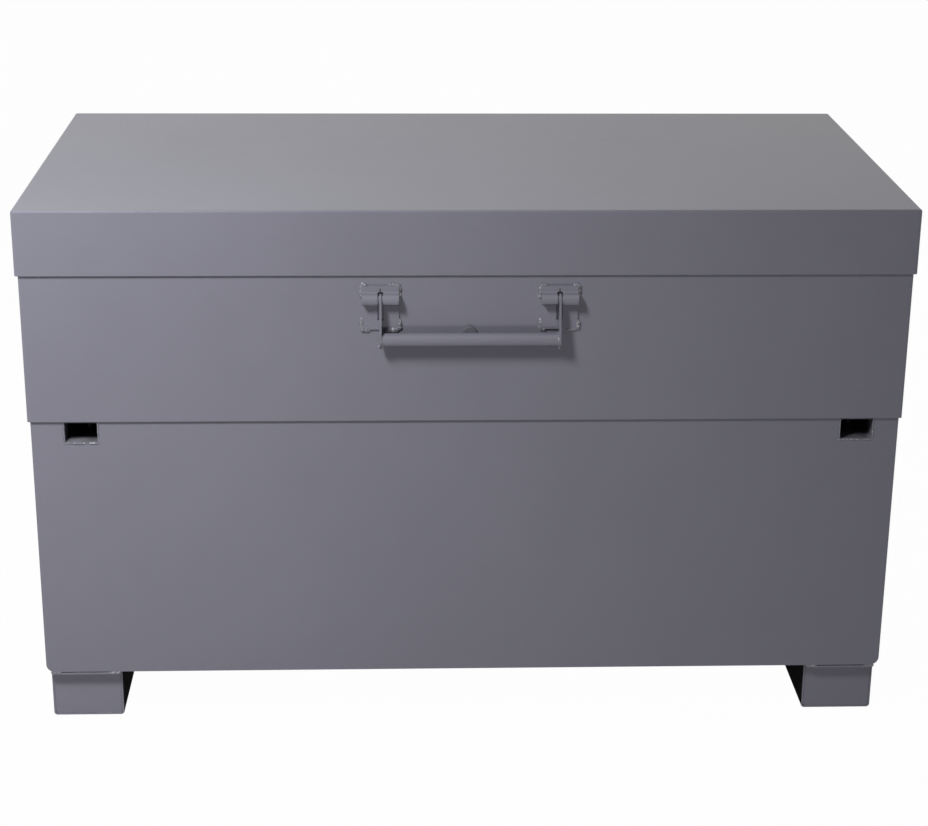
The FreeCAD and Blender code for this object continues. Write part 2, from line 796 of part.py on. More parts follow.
def strut_foot_bracket():
    """Hat bracket on the side wall that carries the strut's lower pin."""
    wall = body_half - sheet
    crown = bracket_face + bracket_plate
    half = foot_bracket_face / 2
    run = [(wall, foot_z + half + foot_bracket_flange), (wall, foot_z + half), (crown, foot_z + half),
           (crown, foot_z - half), (wall, foot_z - half), (wall, foot_z - half - foot_bracket_flange)]
    section = sheet_face(run, bracket_plate, 0.0, on_xz)
    return drawn_along_y(section, foot_y - foot_bracket_width / 2, foot_y + foot_bracket_width / 2)


def strut_head_bracket():
    """Gusset hanging from the cap that carries the strut's upper end."""
    under = cap_top - sheet
    low = head_z - lid_bracket_tip
    half = lid_bracket_width / 2
    run = [(bracket_face + lid_bracket_flange, under), (bracket_face, under), (bracket_face, low)]
    angle = drawn_along_y(sheet_face(run[::-1], bracket_plate, bend_inside, on_xz),
                          head_y - half, head_y + half)
    shoulder = under - lid_bracket_straight
    outline = [(head_y - half, under), (head_y - half, shoulder), (head_y - lid_bracket_tip, low),
               (head_y + lid_bracket_tip, low), (head_y + half, shoulder), (head_y + half, under)]
    radii = [0.0, 0.0, lid_bracket_corner, lid_bracket_corner, 0.0, 0.0]
    gusset = drawn_along_x(rounded_face(outline, radii, on_yz), 0, cap_half)
    return angle.common(gusset)


def strut_foot_pin():
    """Pin from the foot bracket through the rod's eye."""
    return strut_pin(strut_foot, bracket_face)


def strut_head_pin():
    """Pin from the tube's eye to just before the head bracket."""
    return strut_pin(strut_head, bracket_face - strut_open_gap)


# ---- Assembly ----

def pair(shape):
    """A right-hand piece and its mirror image as one group of two solids."""
    return Part.makeCompound([shape, mirrored(shape)])


def pieces():
    """Every piece of the box by name."""
    parts = {
        "lid_cap": lid_cap(),
        "lid_front_band": lid_front_band(),
        "lid_cheek_right": lid_cheek(),
        "lid_cheek_left": mirrored(lid_cheek()),
        "lid_stiffeners": lid_stiffeners(),
        "body_wrapper": body_wrapper(),
        "front_panel": front_panel(),
        "back_panel": back_panel(),
        "hinge_body_leaf": hinge_body_leaf(),
        "hinge_lid_leaf": hinge_lid_leaf(),
        "hinge_pin": hinge_pin(),
        "handle_bar": handle_bar(),
        "handle_bumper": handle_bumper(),
        "lid_rest_pads": lid_rest_pads(),
        "skid_ends": skid_ends(),
        "strut_foot_brackets": pair(strut_foot_bracket()),
        "strut_foot_pins": pair(strut_foot_pin()),
        "strut_head_brackets": pair(strut_head_bracket()),
    }
    for name, make in (("handle_bases", handle_base), ("handle_keepers", handle_keeper),
                       ("handle_pins", handle_pin), ("handle_arms", handle_arm)):
        parts[name] = Part.makeCompound([make(-1), make(1)])
    for name, make in (("lock_pocket", lock_pocket), ("lock_staple", lock_staple),
                       ("lock_tongue", lock_tongue)):
        for side, x in zip(("_left", "_right"), pocket_places()):
            parts[name + side] = make(x)
    for name, make in (("skid", skid), ("strut_rod", strut_rod), ("strut_tube", strut_tube),
                       ("strut_head_pin", strut_head_pin)):
        parts[name + "_right"] = make()
        parts[name + "_left"] = mirrored(make())
    return parts


def main():
    """Write one STEP file per piece."""
    os.makedirs("parts", exist_ok=True)
    for name, shape in pieces().items():
        shape.exportStep("parts/" + name + ".step")
    print("strut length", round(closed_length, 2), "to", round(open_length, 2))


main()
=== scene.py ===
"""Looks of a jobsite storage box, dressed round its packed construction model.

Every sub-assembly of the box is a class that builds its own meshes round the fixed construction nodes and
hands them over to the body that carries them. Lengths are in metres, the front faces -Y and +Z is up.
"""

import json
import logging
import math
from collections.abc import Callable
from dataclasses import dataclass, field
from enum import Enum

import bmesh
import bpy
from mathutils import Matrix, Vector

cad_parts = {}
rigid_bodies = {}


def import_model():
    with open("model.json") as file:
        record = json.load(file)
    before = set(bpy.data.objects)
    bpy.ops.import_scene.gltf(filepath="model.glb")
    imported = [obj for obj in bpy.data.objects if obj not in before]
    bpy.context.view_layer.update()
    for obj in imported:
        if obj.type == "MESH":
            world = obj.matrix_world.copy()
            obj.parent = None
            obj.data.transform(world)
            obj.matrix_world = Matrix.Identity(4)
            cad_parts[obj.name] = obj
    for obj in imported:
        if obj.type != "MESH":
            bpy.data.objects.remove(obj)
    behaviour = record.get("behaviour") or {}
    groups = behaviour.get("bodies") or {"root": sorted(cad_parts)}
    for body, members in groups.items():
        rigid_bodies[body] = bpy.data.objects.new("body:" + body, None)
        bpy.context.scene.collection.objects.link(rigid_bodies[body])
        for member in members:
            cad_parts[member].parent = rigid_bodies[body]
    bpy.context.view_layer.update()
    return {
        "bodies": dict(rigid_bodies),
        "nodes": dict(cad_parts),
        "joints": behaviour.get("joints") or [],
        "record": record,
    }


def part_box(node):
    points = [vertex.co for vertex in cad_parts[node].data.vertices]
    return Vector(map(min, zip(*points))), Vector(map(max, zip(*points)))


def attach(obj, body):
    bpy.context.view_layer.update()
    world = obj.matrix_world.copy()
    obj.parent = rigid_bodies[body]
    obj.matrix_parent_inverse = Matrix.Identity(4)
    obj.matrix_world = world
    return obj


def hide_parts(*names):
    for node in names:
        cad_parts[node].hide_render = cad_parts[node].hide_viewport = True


LOG = logging.getLogger("storage_box")
MM = 0.001
FULL_TURN = 2.0 * math.pi
QUARTER_TURN = math.pi / 2.0
SHARP_ANGLE = math.radians(32.0)
X_AXIS = Vector((1.0, 0.0, 0.0))
Y_AXIS = Vector((0.0, 1.0, 0.0))
Z_AXIS = Vector((0.0, 0.0, 1.0))
WHITE = (1.0, 1.0, 1.0, 1.0)

Point = tuple[float, float, float]
Profile = list[tuple[float, float]]
Socket = bpy.types.NodeSocket
Piece = bpy.types.Object


class Slot(Enum):
    """Material slots of the construction record."""

    COAT = "coat_grey"
    STEEL = "pin_steel"
    CHROME = "rod_chrome"
    GLOSS = "tube_black"
    RUBBER = "rubber_black"


class Carrier(Enum):
    """Bodies that pieces ride on."""

    BODY = "body"
    LID = "lid"
    HANDLE = "handle"
    ROD_LEFT = "strut_rod_left"
    ROD_RIGHT = "strut_rod_right"
    TUBE_LEFT = "strut_tube_left"
    TUBE_RIGHT = "strut_tube_right"


class Side(Enum):
    """Left and right hand of the box, as seen from the front."""

    LEFT = -1
    RIGHT = 1

    @property
    def word(self) -> str:
        """The side's name in node names."""
        return self.name.lower()


class NodeBuilder:
    """Adds nodes to a tree, and sets or links their inputs."""

    def __init__(self, tree: bpy.types.NodeTree) -> None:
        """Take over a tree."""
        self.tree = tree

    def node(self, kind: str, feeds: dict[str | int, object] | None = None,
             **settings: object) -> bpy.types.Node:
        """Add a node.

        Args:
            kind: The node's type.
            feeds: A value or an output socket for inputs by name or number.
            **settings: Plain property values by name.

        Returns:
            The new node.
        """
        node = self.tree.nodes.new(kind)
        for key, setting in settings.items():
            setattr(node, key, setting)
        for key, feed in (feeds or {}).items():
            if isinstance(feed, Socket):
                self.tree.links.new(feed, node.inputs[key])
            else:
                node.inputs[key].default_value = feed
        return node

    def maths(self, operation: str, first: object, second: object) -> Socket:
        """A sum, product or other operation on two numbers."""
        return self.node("ShaderNodeMath", {0: first, 1: second}, operation=operation).outputs[0]


# ---- Finishes ----

@dataclass(frozen=True)
class Noise:
    """Noise on a piece's own coordinates: features per metre, octaves, weight of the finer ones, stretch."""

    scale: float
    detail: float = 2.0
    roughness: float = 0.5
    stretch: Point = (1.0, 1.0, 1.0)


class ShaderTree(NodeBuilder):
    """A builder for one material's node tree."""

    def __init__(self, name: str) -> None:
        """Start an empty material.

        Args:
            name: The material's name.
        """
        self.material = bpy.data.materials.new(name)
        self.material.use_nodes = True
        super().__init__(self.material.node_tree)
        self.tree.nodes.clear()
        self.place = self.node("ShaderNodeTexCoord").outputs["Object"]

    def noise(self, kind: Noise) -> Socket:
        """Build a noise.

        Args:
            kind: Its scale, detail, roughness and stretch.

        Returns:
            Its value, about 0.5 on average.
        """
        mapping = self.node("ShaderNodeMapping", {"Vector": self.place, "Scale": kind.stretch})
        feeds = {"Vector": mapping.outputs["Vector"], "Scale": kind.scale, "Detail": kind.detail,
                 "Roughness": kind.roughness}
        return self.node("ShaderNodeTexNoise", feeds).outputs["Fac"]

    def spread(self, value: Socket, low: float, high: float, start: float = 0.3, end: float = 0.7) -> Socket:
        """Map a value between two limits.

        Args:
            value: The value to map.
            low: Result at the start.
            high: Result at the end.
            start: Value where the change starts.
            end: Value where it ends.

        Returns:
            The mapped value.
        """
        feeds = {"Value": value, "From Min": start, "From Max": end, "To Min": low, "To Max": high}
        return self.node("ShaderNodeMapRange", feeds).outputs["Result"]

    def tint(self, factor: Socket, first: Point, second: Point) -> Socket:
        """Blend from a first linear colour, at 0, to a second, at 1, on the node's colour sockets."""
        feeds = {0: factor, 6: (*first, 1.0), 7: (*second, 1.0)}
        return self.node("ShaderNodeMix", feeds, data_type="RGBA").outputs[2]

    def bump(self, height: Socket, depth: float, under: Socket | None = None) -> Socket:
        """Add a relief to the surface.

        Args:
            height: Relief from 0 to 1.
            depth: Its depth in metres.
            under: A relief that this one lies on.

        Returns:
            The new normal.
        """
        feeds = {"Height": height, "Distance": depth, "Strength": 1.0}
        if under is not None:
            feeds["Normal"] = under
        return self.node("ShaderNodeBump", feeds).outputs["Normal"]


@dataclass(frozen=True)
class Finish:
    """A finish whose colour, roughness and relief each follow a noise of their own."""

    name: str
    dark: Point
    light: Point
    smoothest: float
    roughest: float
    # Noise for the colour: a stain in most finishes, the mask of painted highlights or painted shade in the
    # weld and pocket finishes.
    stain_and_painted_light: Noise
    wear: Noise
    grain: Noise
    depth: float
    gloss: float = 0.5
    metal: float = 0.0

    def colour(self, tree: ShaderTree) -> Socket:
        """Colour between dark and light."""
        return tree.tint(tree.spread(tree.noise(self.stain_and_painted_light), 0.0, 1.0), self.dark, self.light)

    def relief(self, tree: ShaderTree) -> Socket:
        """Normal with the grain in it."""
        return tree.bump(tree.noise(self.grain), self.depth)

    def extras(self, relief: Socket) -> dict[str, object]:
        """Further inputs of the shader by name, of which a plain finish has none."""
        return {}

    def material(self) -> bpy.types.Material:
        """Build the material.

        Returns:
            The material.
        """
        tree = ShaderTree(self.name)
        relief = self.relief(tree)
        feeds = {"Base Color": self.colour(tree), "Normal": relief, "Metallic": self.metal,
                 "Roughness": tree.spread(tree.noise(self.wear), self.smoothest, self.roughest),
                 "Specular IOR Level": self.gloss}
        feeds.update(self.extras(relief))
        shader = tree.node("ShaderNodeBsdfPrincipled", feeds)
        tree.node("ShaderNodeOutputMaterial", {"Surface": shader.outputs["BSDF"]})
        return tree.material


@dataclass(frozen=True)
class PowderCoat(Finish):
    """Semi-gloss powder coat on steel sheet, with orange peel and the slight waves of large panels."""

    name: str = "powder_coat"
    dark: Point = (0.157, 0.156, 0.190)
    light: Point = (0.169, 0.168, 0.204)
    smoothest: float = 0.14
    roughest: float = 0.18
    stain_and_painted_light: Noise = Noise(5.0, detail=4.0, roughness=0.6)
    wear: Noise = Noise(30.0, detail=3.0)
    grain: Noise = Noise(420.0, detail=1.0)
    depth: float = 0.015 * MM
    gloss: float = 1.0
    gloss_tint: Point = (0.88, 0.86, 1.0)
    waves: Noise = Noise(3.2, detail=1.0)
    wave_depth: float = 0.02 * MM

    def relief(self, tree: ShaderTree) -> Socket:
        """Normal with orange peel on the waves of the sheet."""
        waves = tree.bump(tree.noise(self.waves), self.wave_depth)
        return tree.bump(tree.noise(self.grain), self.depth, waves)

    def extras(self, relief: Socket) -> dict[str, object]:
        """The tint of the gloss."""
        return {"Specular Tint": (*self.gloss_tint, 1.0)}


@dataclass(frozen=True)
class CoatWithPaintedRecessShade(Finish):
    """Powder coat painted darker with depth behind the front, in patches, down to black: painted shade deep
    inside the lock pockets.
    """

    name: str = "coat_with_painted_recess_shade"
    # Black of the painted shade deep in the pockets.
    dark: Point = (0.012, 0.012, 0.013)
    light: Point = (0.172, 0.169, 0.200)
    smoothest: float = 0.39
    roughest: float = 0.55
    stain_and_painted_light: Noise = Noise(60.0, detail=3.0)
    wear: Noise = Noise(90.0)
    grain: Noise = Noise(300.0)
    depth: float = 0.04 * MM
    front: float = -0.295
    fade: float = 0.03
    shade_patches: float = 0.3

    def colour(self, tree: ShaderTree) -> Socket:
        """Colour that darkens with depth, as painted shade.

        Args:
            tree: The material's tree.

        Returns:
            The colour.
        """
        y = tree.node("ShaderNodeSeparateXYZ", {"Vector": tree.place}).outputs["Y"]
        shade_patches = tree.spread(tree.noise(self.stain_and_painted_light), -self.shade_patches, self.shade_patches)
        depth = tree.spread(y, 0.0, 1.0, self.front, self.front + self.fade)
        both = tree.node("ShaderNodeMath", {0: shade_patches, 1: depth}, operation="ADD", use_clamp=True)
        return tree.tint(both.outputs[0], self.light, self.dark)


@dataclass(frozen=True)
class WeldCoat(Finish):
    """Powder coat over weld beads, glossier than the sheet because it flows out over the ripples, with light
    specks painted on as highlights.
    """

    name: str = "weld_coat"
    dark: Point = (0.140, 0.140, 0.172)
    # Colour of the painted highlight specks.
    light: Point = (0.42, 0.42, 0.47)
    smoothest: float = 0.14
    roughest: float = 0.3
    stain_and_painted_light: Noise = Noise(230.0)
    wear: Noise = Noise(400.0)
    grain: Noise = Noise(260.0)
    depth: float = 0.5 * MM
    highlight_start: float = 0.56
    highlight_end: float = 0.66
    flow: float = 1.0
    flow_roughness: float = 0.05
    flow_ior: float = 1.7

    def colour(self, tree: ShaderTree) -> Socket:
        """Dark coat with light specks painted on as highlights."""
        painted_highlights = tree.spread(tree.noise(self.stain_and_painted_light), 0.0, 1.0, self.highlight_start, self.highlight_end)
        return tree.tint(painted_highlights, self.dark, self.light)

    def extras(self, relief: Socket) -> dict[str, object]:
        """The clear layer that has flowed out over the ripples."""
        return {"Coat Weight": self.flow, "Coat Roughness": self.flow_roughness, "Coat IOR": self.flow_ior,
                "Coat Normal": relief}


@dataclass(frozen=True)
class PaintedUnderShade(Finish):
    """Dull, grainy black painted as shade on faces that look under the box."""

    name: str = "black_painted_under_shade"
    dark: Point = (0.003, 0.003, 0.003)
    light: Point = (0.007, 0.007, 0.007)
    smoothest: float = 0.82
    roughest: float = 0.98
    stain_and_painted_light: Noise = Noise(90.0, detail=5.0)
    wear: Noise = Noise(250.0)
    grain: Noise = Noise(900.0, detail=4.0)
    depth: float = 0.12 * MM
    gloss: float = 0.01


@dataclass(frozen=True)
class TurnedMetal(Finish):
    """Bare or plated metal with fine lines left by turning or drawing."""

    stain_and_painted_light: Noise = Noise(60.0, detail=3.0)
    wear: Noise = Noise(900.0, stretch=(1.0, 0.04, 0.04))
    grain: Noise = Noise(900.0, stretch=(1.0, 0.04, 0.04))
    depth: float = 0.01 * MM
    metal: float = 1.0


@dataclass(frozen=True)
class Lacquer(Finish):
    """Glossy black paint on a drawn tube."""

    name: str = "black_lacquer"
    dark: Point = (0.012, 0.012, 0.013)
    light: Point = (0.022, 0.022, 0.024)
    smoothest: float = 0.14
    roughest: float = 0.26
    stain_and_painted_light: Noise = Noise(40.0, detail=4.0)
    wear: Noise = Noise(160.0)
    grain: Noise = Noise(500.0)
    depth: float = 0.01 * MM


@dataclass(frozen=True)
class MouldedRubber(Finish):
    """Matt rubber with a grained skin and a little dust."""

    name: str = "moulded_rubber"
    dark: Point = (0.014, 0.014, 0.015)
    light: Point = (0.035, 0.034, 0.034)
    smoothest: float = 0.64
    roughest: float = 0.82
    stain_and_painted_light: Noise = Noise(150.0, detail=5.0)
    wear: Noise = Noise(220.0)
    grain: Noise = Noise(1600.0, detail=3.0)
    depth: float = 0.06 * MM


# ---- Geometry Nodes trees ----

class GeometryTree(NodeBuilder):
    """A builder for a Geometry Nodes tree that ends in Realize Instances and Set Material."""

    def __init__(self, name: str, numbers: tuple[str, ...], counts: tuple[str, ...] = ()) -> None:
        """Start a tree with a geometry, named numbers and a material as inputs.

        Args:
            name: The tree's name.
            numbers: Names of its number inputs.
            counts: Names of its whole number inputs.
        """
        super().__init__(bpy.data.node_groups.new(name, "GeometryNodeTree"))
        kinds = {"Geometry": "NodeSocketGeometry", **dict.fromkeys(numbers, "NodeSocketFloat"),
                 **dict.fromkeys(counts, "NodeSocketInt"), "Material": "NodeSocketMaterial"}
        sockets = self.tree.interface
        self.identifiers = {key: sockets.new_socket(key, in_out="INPUT", socket_type=kind).identifier
                            for key, kind in kinds.items()}
        sockets.new_socket("Geometry", in_out="OUTPUT", socket_type="NodeSocketGeometry")
        self.inputs = self.node("NodeGroupInput").outputs

    def vector(self, x: object = 0.0, y: object = 0.0, z: object = 0.0) -> Socket:
        """A vector from three numbers."""
        return self.node("ShaderNodeCombineXYZ", {0: x, 1: y, 2: z}).outputs[0]

    def rectangle(self, width: Socket, height: Socket) -> Socket:
        """A rectangular section."""
        return self.node("GeometryNodeCurvePrimitiveQuadrilateral", {"Width": width, "Height": height},
                         mode="RECTANGLE").outputs[0]

    def circle(self, steps: int, radius: Socket) -> Socket:
        """A circle."""
        return self.node("GeometryNodeCurvePrimitiveCircle", {"Resolution": steps, "Radius": radius},
                         mode="RADIUS").outputs[0]

    def swept(self, path: Socket, section: Socket, capped: bool = False) -> Socket:
        """A section swept along a path."""
        return self.node("GeometryNodeCurveToMesh", {0: path, 1: section, "Fill Caps": capped}).outputs[0]

    def across_x(self, geometry: Socket) -> Socket:
        """A flat ring turned to stand across the X axis."""
        turn = (0.0, QUARTER_TURN, 0.0)
        return self.node("GeometryNodeTransform", {0: geometry, "Rotation": turn}).outputs[0]

    def smooth(self, geometry: Socket) -> Socket:
        """A mesh shaded smooth."""
        return self.node("GeometryNodeSetShadeSmooth", {0: geometry}).outputs[0]

    def on_vertices(self, instance: Socket) -> None:
        """Put an instance on each vertex and close the tree.

        Args:
            instance: The geometry to repeat.
        """
        points = self.node("GeometryNodeMeshToPoints", {0: self.inputs["Geometry"]})
        feeds = {"Points": points.outputs[0], "Instance": instance}
        copies = self.node("GeometryNodeInstanceOnPoints", feeds)
        self.finish(copies.outputs[0])

    def finish(self, geometry: Socket) -> None:
        """Realize the instances, set the material and close the tree.

        Args:
            geometry: The geometry with its instances.
        """
        real = self.node("GeometryNodeRealizeInstances", {0: geometry})
        dressed = self.node("GeometryNodeSetMaterial",
                            {0: real.outputs[0], "Material": self.inputs["Material"]})
        self.node("NodeGroupOutput", {0: dressed.outputs[0]})


def weld_tree() -> GeometryTree:
    """Weld beads along the edges of a mesh: overlapping flattened drops, one for each dab of the torch.

    Returns:
        The tree, with the inputs Pitch, Width, Length, Jitter, Seed and Material.
    """
    tree = GeometryTree("weld_beads", ("Pitch", "Width", "Length", "Jitter"), ("Seed",))
    path = tree.node("GeometryNodeMeshToCurve", {0: tree.inputs["Geometry"]})
    points = tree.node("GeometryNodeCurveToPoints", {0: path.outputs[0], "Length": tree.inputs["Pitch"]},
                       mode="LENGTH")
    drop = tree.node("GeometryNodeMeshIcoSphere", {"Radius": 1.0, "Subdivisions": 2})
    low = tree.maths("SUBTRACT", 1.0, tree.inputs["Jitter"])
    high = tree.maths("ADD", 1.0, tree.inputs["Jitter"])
    change = tree.node("FunctionNodeRandomValue", {2: low, 3: high, "Seed": tree.inputs["Seed"]},
                       data_type="FLOAT")
    width = tree.maths("MULTIPLY", tree.inputs["Width"], change.outputs[1])
    drops = tree.node("GeometryNodeInstanceOnPoints",
                      {"Points": points.outputs["Points"], "Instance": tree.smooth(drop.outputs[0]),
                       "Rotation": points.outputs["Rotation"],
                       "Scale": tree.vector(width, width, tree.inputs["Length"])})
    tree.finish(drops.outputs[0])
    return tree


def spot_tree(steps: int = 20, rim_steps: int = 8) -> GeometryTree:
    """Spot welds: shallow round dents with a raised rim, one on each vertex of a mesh.

    Args:
        steps: Faces round a spot.
        rim_steps: Faces round its rim's section.

    Returns:
        The tree, with the inputs Radius, Height and Material.
    """
    tree = GeometryTree("spot_welds", ("Radius", "Height"))
    rim = tree.swept(tree.circle(steps, tree.inputs["Radius"]), tree.circle(rim_steps, tree.inputs["Height"]))
    tree.on_vertices(tree.smooth(rim))
    return tree


def hinge_tree(steps: int = 32) -> GeometryTree:
    """One leaf's knuckles of a continuous hinge, one on each vertex of a mesh, each with a web above it.

    Args:
        steps: Faces round a knuckle.

    Returns:
        The tree, with the inputs Bore, Wall, Length, Rise, Offset and Material.
    """
    tree = GeometryTree("hinge_leaf", ("Bore", "Wall", "Length", "Rise", "Offset"))
    wall, length, rise = tree.inputs["Wall"], tree.inputs["Length"], tree.inputs["Rise"]
    radius = tree.maths("ADD", tree.inputs["Bore"], tree.maths("MULTIPLY", wall, 0.5))
    sleeve = tree.swept(tree.circle(steps, radius), tree.rectangle(wall, length))
    web = tree.node("GeometryNodeMeshCube", {"Size": tree.vector(length, wall, rise)})
    web_place = tree.vector(0.0, tree.inputs["Offset"], tree.maths("MULTIPLY", rise, 0.5))
    moved = tree.node("GeometryNodeTransform", {0: web.outputs[0], "Translation": web_place})
    both = tree.node("GeometryNodeJoinGeometry")
    tree.tree.links.new(tree.across_x(sleeve), both.inputs[0])
    tree.tree.links.new(moved.outputs[0], both.inputs[0])
    tree.on_vertices(both.outputs[0])
    return tree


def clip_tree(steps: int = 40, opening: float = 0.7) -> GeometryTree:
    """Retaining clips: flat open rings across the X axis, one on each vertex of a mesh.

    Args:
        steps: Faces round a clip.
        opening: Angle that it leaves open.

    Returns:
        The tree, with the inputs Radius, Width, Thickness and Material.
    """
    tree = GeometryTree("retaining_clips", ("Radius", "Width", "Thickness"))
    width = tree.inputs["Width"]
    radius = tree.maths("ADD", tree.inputs["Radius"], tree.maths("MULTIPLY", width, 0.5))
    angles = {"Start Angle": opening / 2.0, "Sweep Angle": FULL_TURN - opening}
    arc = tree.node("GeometryNodeCurveArc", {"Resolution": steps, "Radius": radius, **angles}, mode="RADIUS")
    ring = tree.swept(arc.outputs[0], tree.rectangle(width, tree.inputs["Thickness"]), capped=True)
    tree.on_vertices(tree.across_x(ring))
    return tree


# ---- Mesh tools ----

def placed(name: str, data: bpy.types.ID) -> bpy.types.Object:
    """Put a mesh, a lamp or a camera into the scene.

    Args:
        name: Name of the new object.
        data: Its mesh, lamp or camera data.

    Returns:
        The object.
    """
    obj = bpy.data.objects.new(name, data)
    bpy.context.scene.collection.objects.link(obj)
    return obj


def moulded(name: str, bm: bmesh.types.BMesh) -> Piece:
    """Turn an edit mesh into an object and free it.

    Args:
        name: Name of the new object.
        bm: The edit mesh.

    Returns:
        The object.
    """
    mesh = bpy.data.meshes.new(name)
    bm.to_mesh(mesh)
    bm.free()
    return placed(name, mesh)


def mesh_from(name: str, points: list[Vector] | list[Point], edges: list[tuple[int, int]] | None = None,
              faces: list[list[int]] | None = None) -> Piece:
    """Build an object from plain lists.

    Args:
        name: The object's name.
        points: Its vertices.
        edges: Its loose edges.
        faces: Its faces.

    Returns:
        The object.
    """
    mesh = bpy.data.meshes.new(name)
    mesh.from_pydata([tuple(point) for point in points], edges or [], faces or [])
    return placed(name, mesh)


def applied(piece: Piece) -> Piece:
    """Turn a piece's modifiers into a plain mesh.

    Args:
        piece: The piece. Its modifiers are removed.

    Returns:
        The same piece.
    """
    bpy.context.view_layer.update()
    evaluated = piece.evaluated_get(bpy.context.evaluated_depsgraph_get())
    mesh = bpy.data.meshes.new_from_object(evaluated)
    piece.modifiers.clear()
    mesh.name = piece.name
    piece.data = mesh
    return piece


def grown(piece: Piece, tree: GeometryTree, **values: object) -> Piece:
    """Run a Geometry Nodes tree on a piece and keep the result as a plain mesh.

    Args:
        piece: The piece that the tree starts from.
        tree: The tree.
        **values: Values of its named inputs.

    Returns:
        The same piece.
    """
    modifier = piece.modifiers.new(tree.tree.name, "NODES")
    modifier.node_group = tree.tree
    for name, value in values.items():
        modifier[tree.identifiers[name]] = value
    return applied(piece)


def spokes(axis: Vector, steps: int) -> list[Vector]:
    """Unit vectors round an axis.

    Args:
        axis: The axis.
        steps: How many vectors.

    Returns:
        The vectors.
    """
    across = axis.orthogonal().normalized()
    beside = axis.normalized().cross(across)
    angles = [FULL_TURN * i / steps for i in range(steps)]
    return [across * math.cos(angle) + beside * math.sin(angle) for angle in angles]


def spaced(start: Vector, end: Vector, pitch: float) -> list[Vector]:
    """Divide a line evenly.

    Args:
        start: One end of the line.
        end: Its other end.
        pitch: About how long each stretch is.

    Returns:
        The middles of the stretches.
    """
    run = end - start
    count = max(1, round(run.length / pitch))
    return [start + run * ((i + 0.5) / count) for i in range(count)]


def rounded_rim(length: float, radius: float, edge: float, steps: int) -> Profile:
    """Quarter round from the side of a turned piece to its end face.

    Args:
        length: Where the end face lies along the axis.
        radius: Radius of the side.
        edge: Radius of the quarter round.
        steps: Its faces.

    Returns:
        Points as (distance along the axis, radius).
    """
    angles = [QUARTER_TURN * i / steps for i in range(steps + 1)]
    return [(length - edge + edge * math.sin(a), radius - edge + edge * math.cos(a)) for a in angles]


def round_ended(length: float, radius: float, edge: float, steps: int = 4) -> Profile:
    """Profile of a pin with rounded ends.

    Args:
        length: Length of the pin.
        radius: Its radius.
        edge: Radius of its rounded ends.
        steps: Faces of each rounding.

    Returns:
        Points as (distance along the axis, radius).
    """
    end = rounded_rim(length, radius, edge, steps)
    start = [(length - along, around) for along, around in reversed(end)]
    return [(0.0, 0.0), *start, *end, (length, 0.0)]


def turned(name: str, profile: Profile, start: Vector, axis: Vector, steps: int = 48) -> Piece:
    """Turn a piece: sweep a profile round an axis.

    Args:
        name: The piece's name.
        profile: Points as (distance along the axis, radius), from one end to the other.
        start: Where the axis starts.
        axis: Unit vector along the axis.
        steps: Faces round the axis.

    Returns:
        The piece, shaded smooth with its sharp edges kept.
    """
    round_axis = spokes(axis, steps)
    bm = bmesh.new()
    rings = []
    for distance, radius in profile:
        offsets = [spoke * radius for spoke in round_axis] if radius > 0.0 else [Vector()]
        rings.append([bm.verts.new(start + axis * distance + offset) for offset in offsets])
    for low, high in zip(rings, rings[1:]):
        for i in range(steps):
            j = (i + 1) % steps
            corners = [low[i % len(low)], low[j % len(low)], high[j % len(high)], high[i % len(high)]]
            unique = list(dict.fromkeys(corners))
            if len(unique) > 2:
                bm.faces.new(unique)
    bmesh.ops.recalc_face_normals(bm, faces=bm.faces)
    piece = moulded(name, bm)
    piece.data.shade_smooth()
    piece.data.set_sharp_from_angle(angle=SHARP_ANGLE)
    return piece


def plate(name: str, low: Vector, high: Vector, edge: float = 0.3 * MM, steps: int = 2,
          roundness: float = 0.5) -> Piece:
    """Cut a plate with slightly broken edges.

    Args:
        name: The plate's name.
        low: Its lowest corner.
        high: Its highest corner.
        edge: Width of its broken edges.
        steps: Faces across each of them.
        roundness: 0.5 for a round edge.

    Returns:
        The plate.
    """
    place = Matrix.Translation((low + high) / 2.0) @ Matrix.Diagonal((*(high - low), 1.0))
    bm = bmesh.new()
    bmesh.ops.create_cube(bm, size=1.0)
    bmesh.ops.transform(bm, matrix=place, verts=bm.verts)
    bmesh.ops.bevel(bm, geom=bm.edges, offset=edge, segments=steps, affect="EDGES", profile=roundness)
    return moulded(name, bm)


def joined(name: str, pieces: list[Piece]) -> Piece:
    """Join several pieces into one.

    Args:
        name: Name of the result.
        pieces: The pieces, which are used up.

    Returns:
        The joined piece.
    """
    bm = bmesh.new()
    for piece in pieces:
        bm.from_mesh(piece.data)
        bpy.data.objects.remove(piece)
    whole = moulded(name, bm)
    whole.data.set_sharp_from_angle(angle=SHARP_ANGLE)
    return whole


def paint_faces(piece: Piece, material: bpy.types.Material,
                chosen: Callable[[bpy.types.MeshPolygon], bool]) -> None:
    """Give some faces of a piece a second finish.

    Args:
        piece: The piece, which has its first finish.
        material: The second finish.
        chosen: Says whether a face gets it.
    """
    piece.data.materials.append(material)
    for face in piece.data.polygons:
        if chosen(face):
            face.material_index = 1


def middle(node: str) -> Vector:
    """Middle of a construction node."""
    low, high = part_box(node)
    return (low + high) / 2.0


# ---- Workshop ----

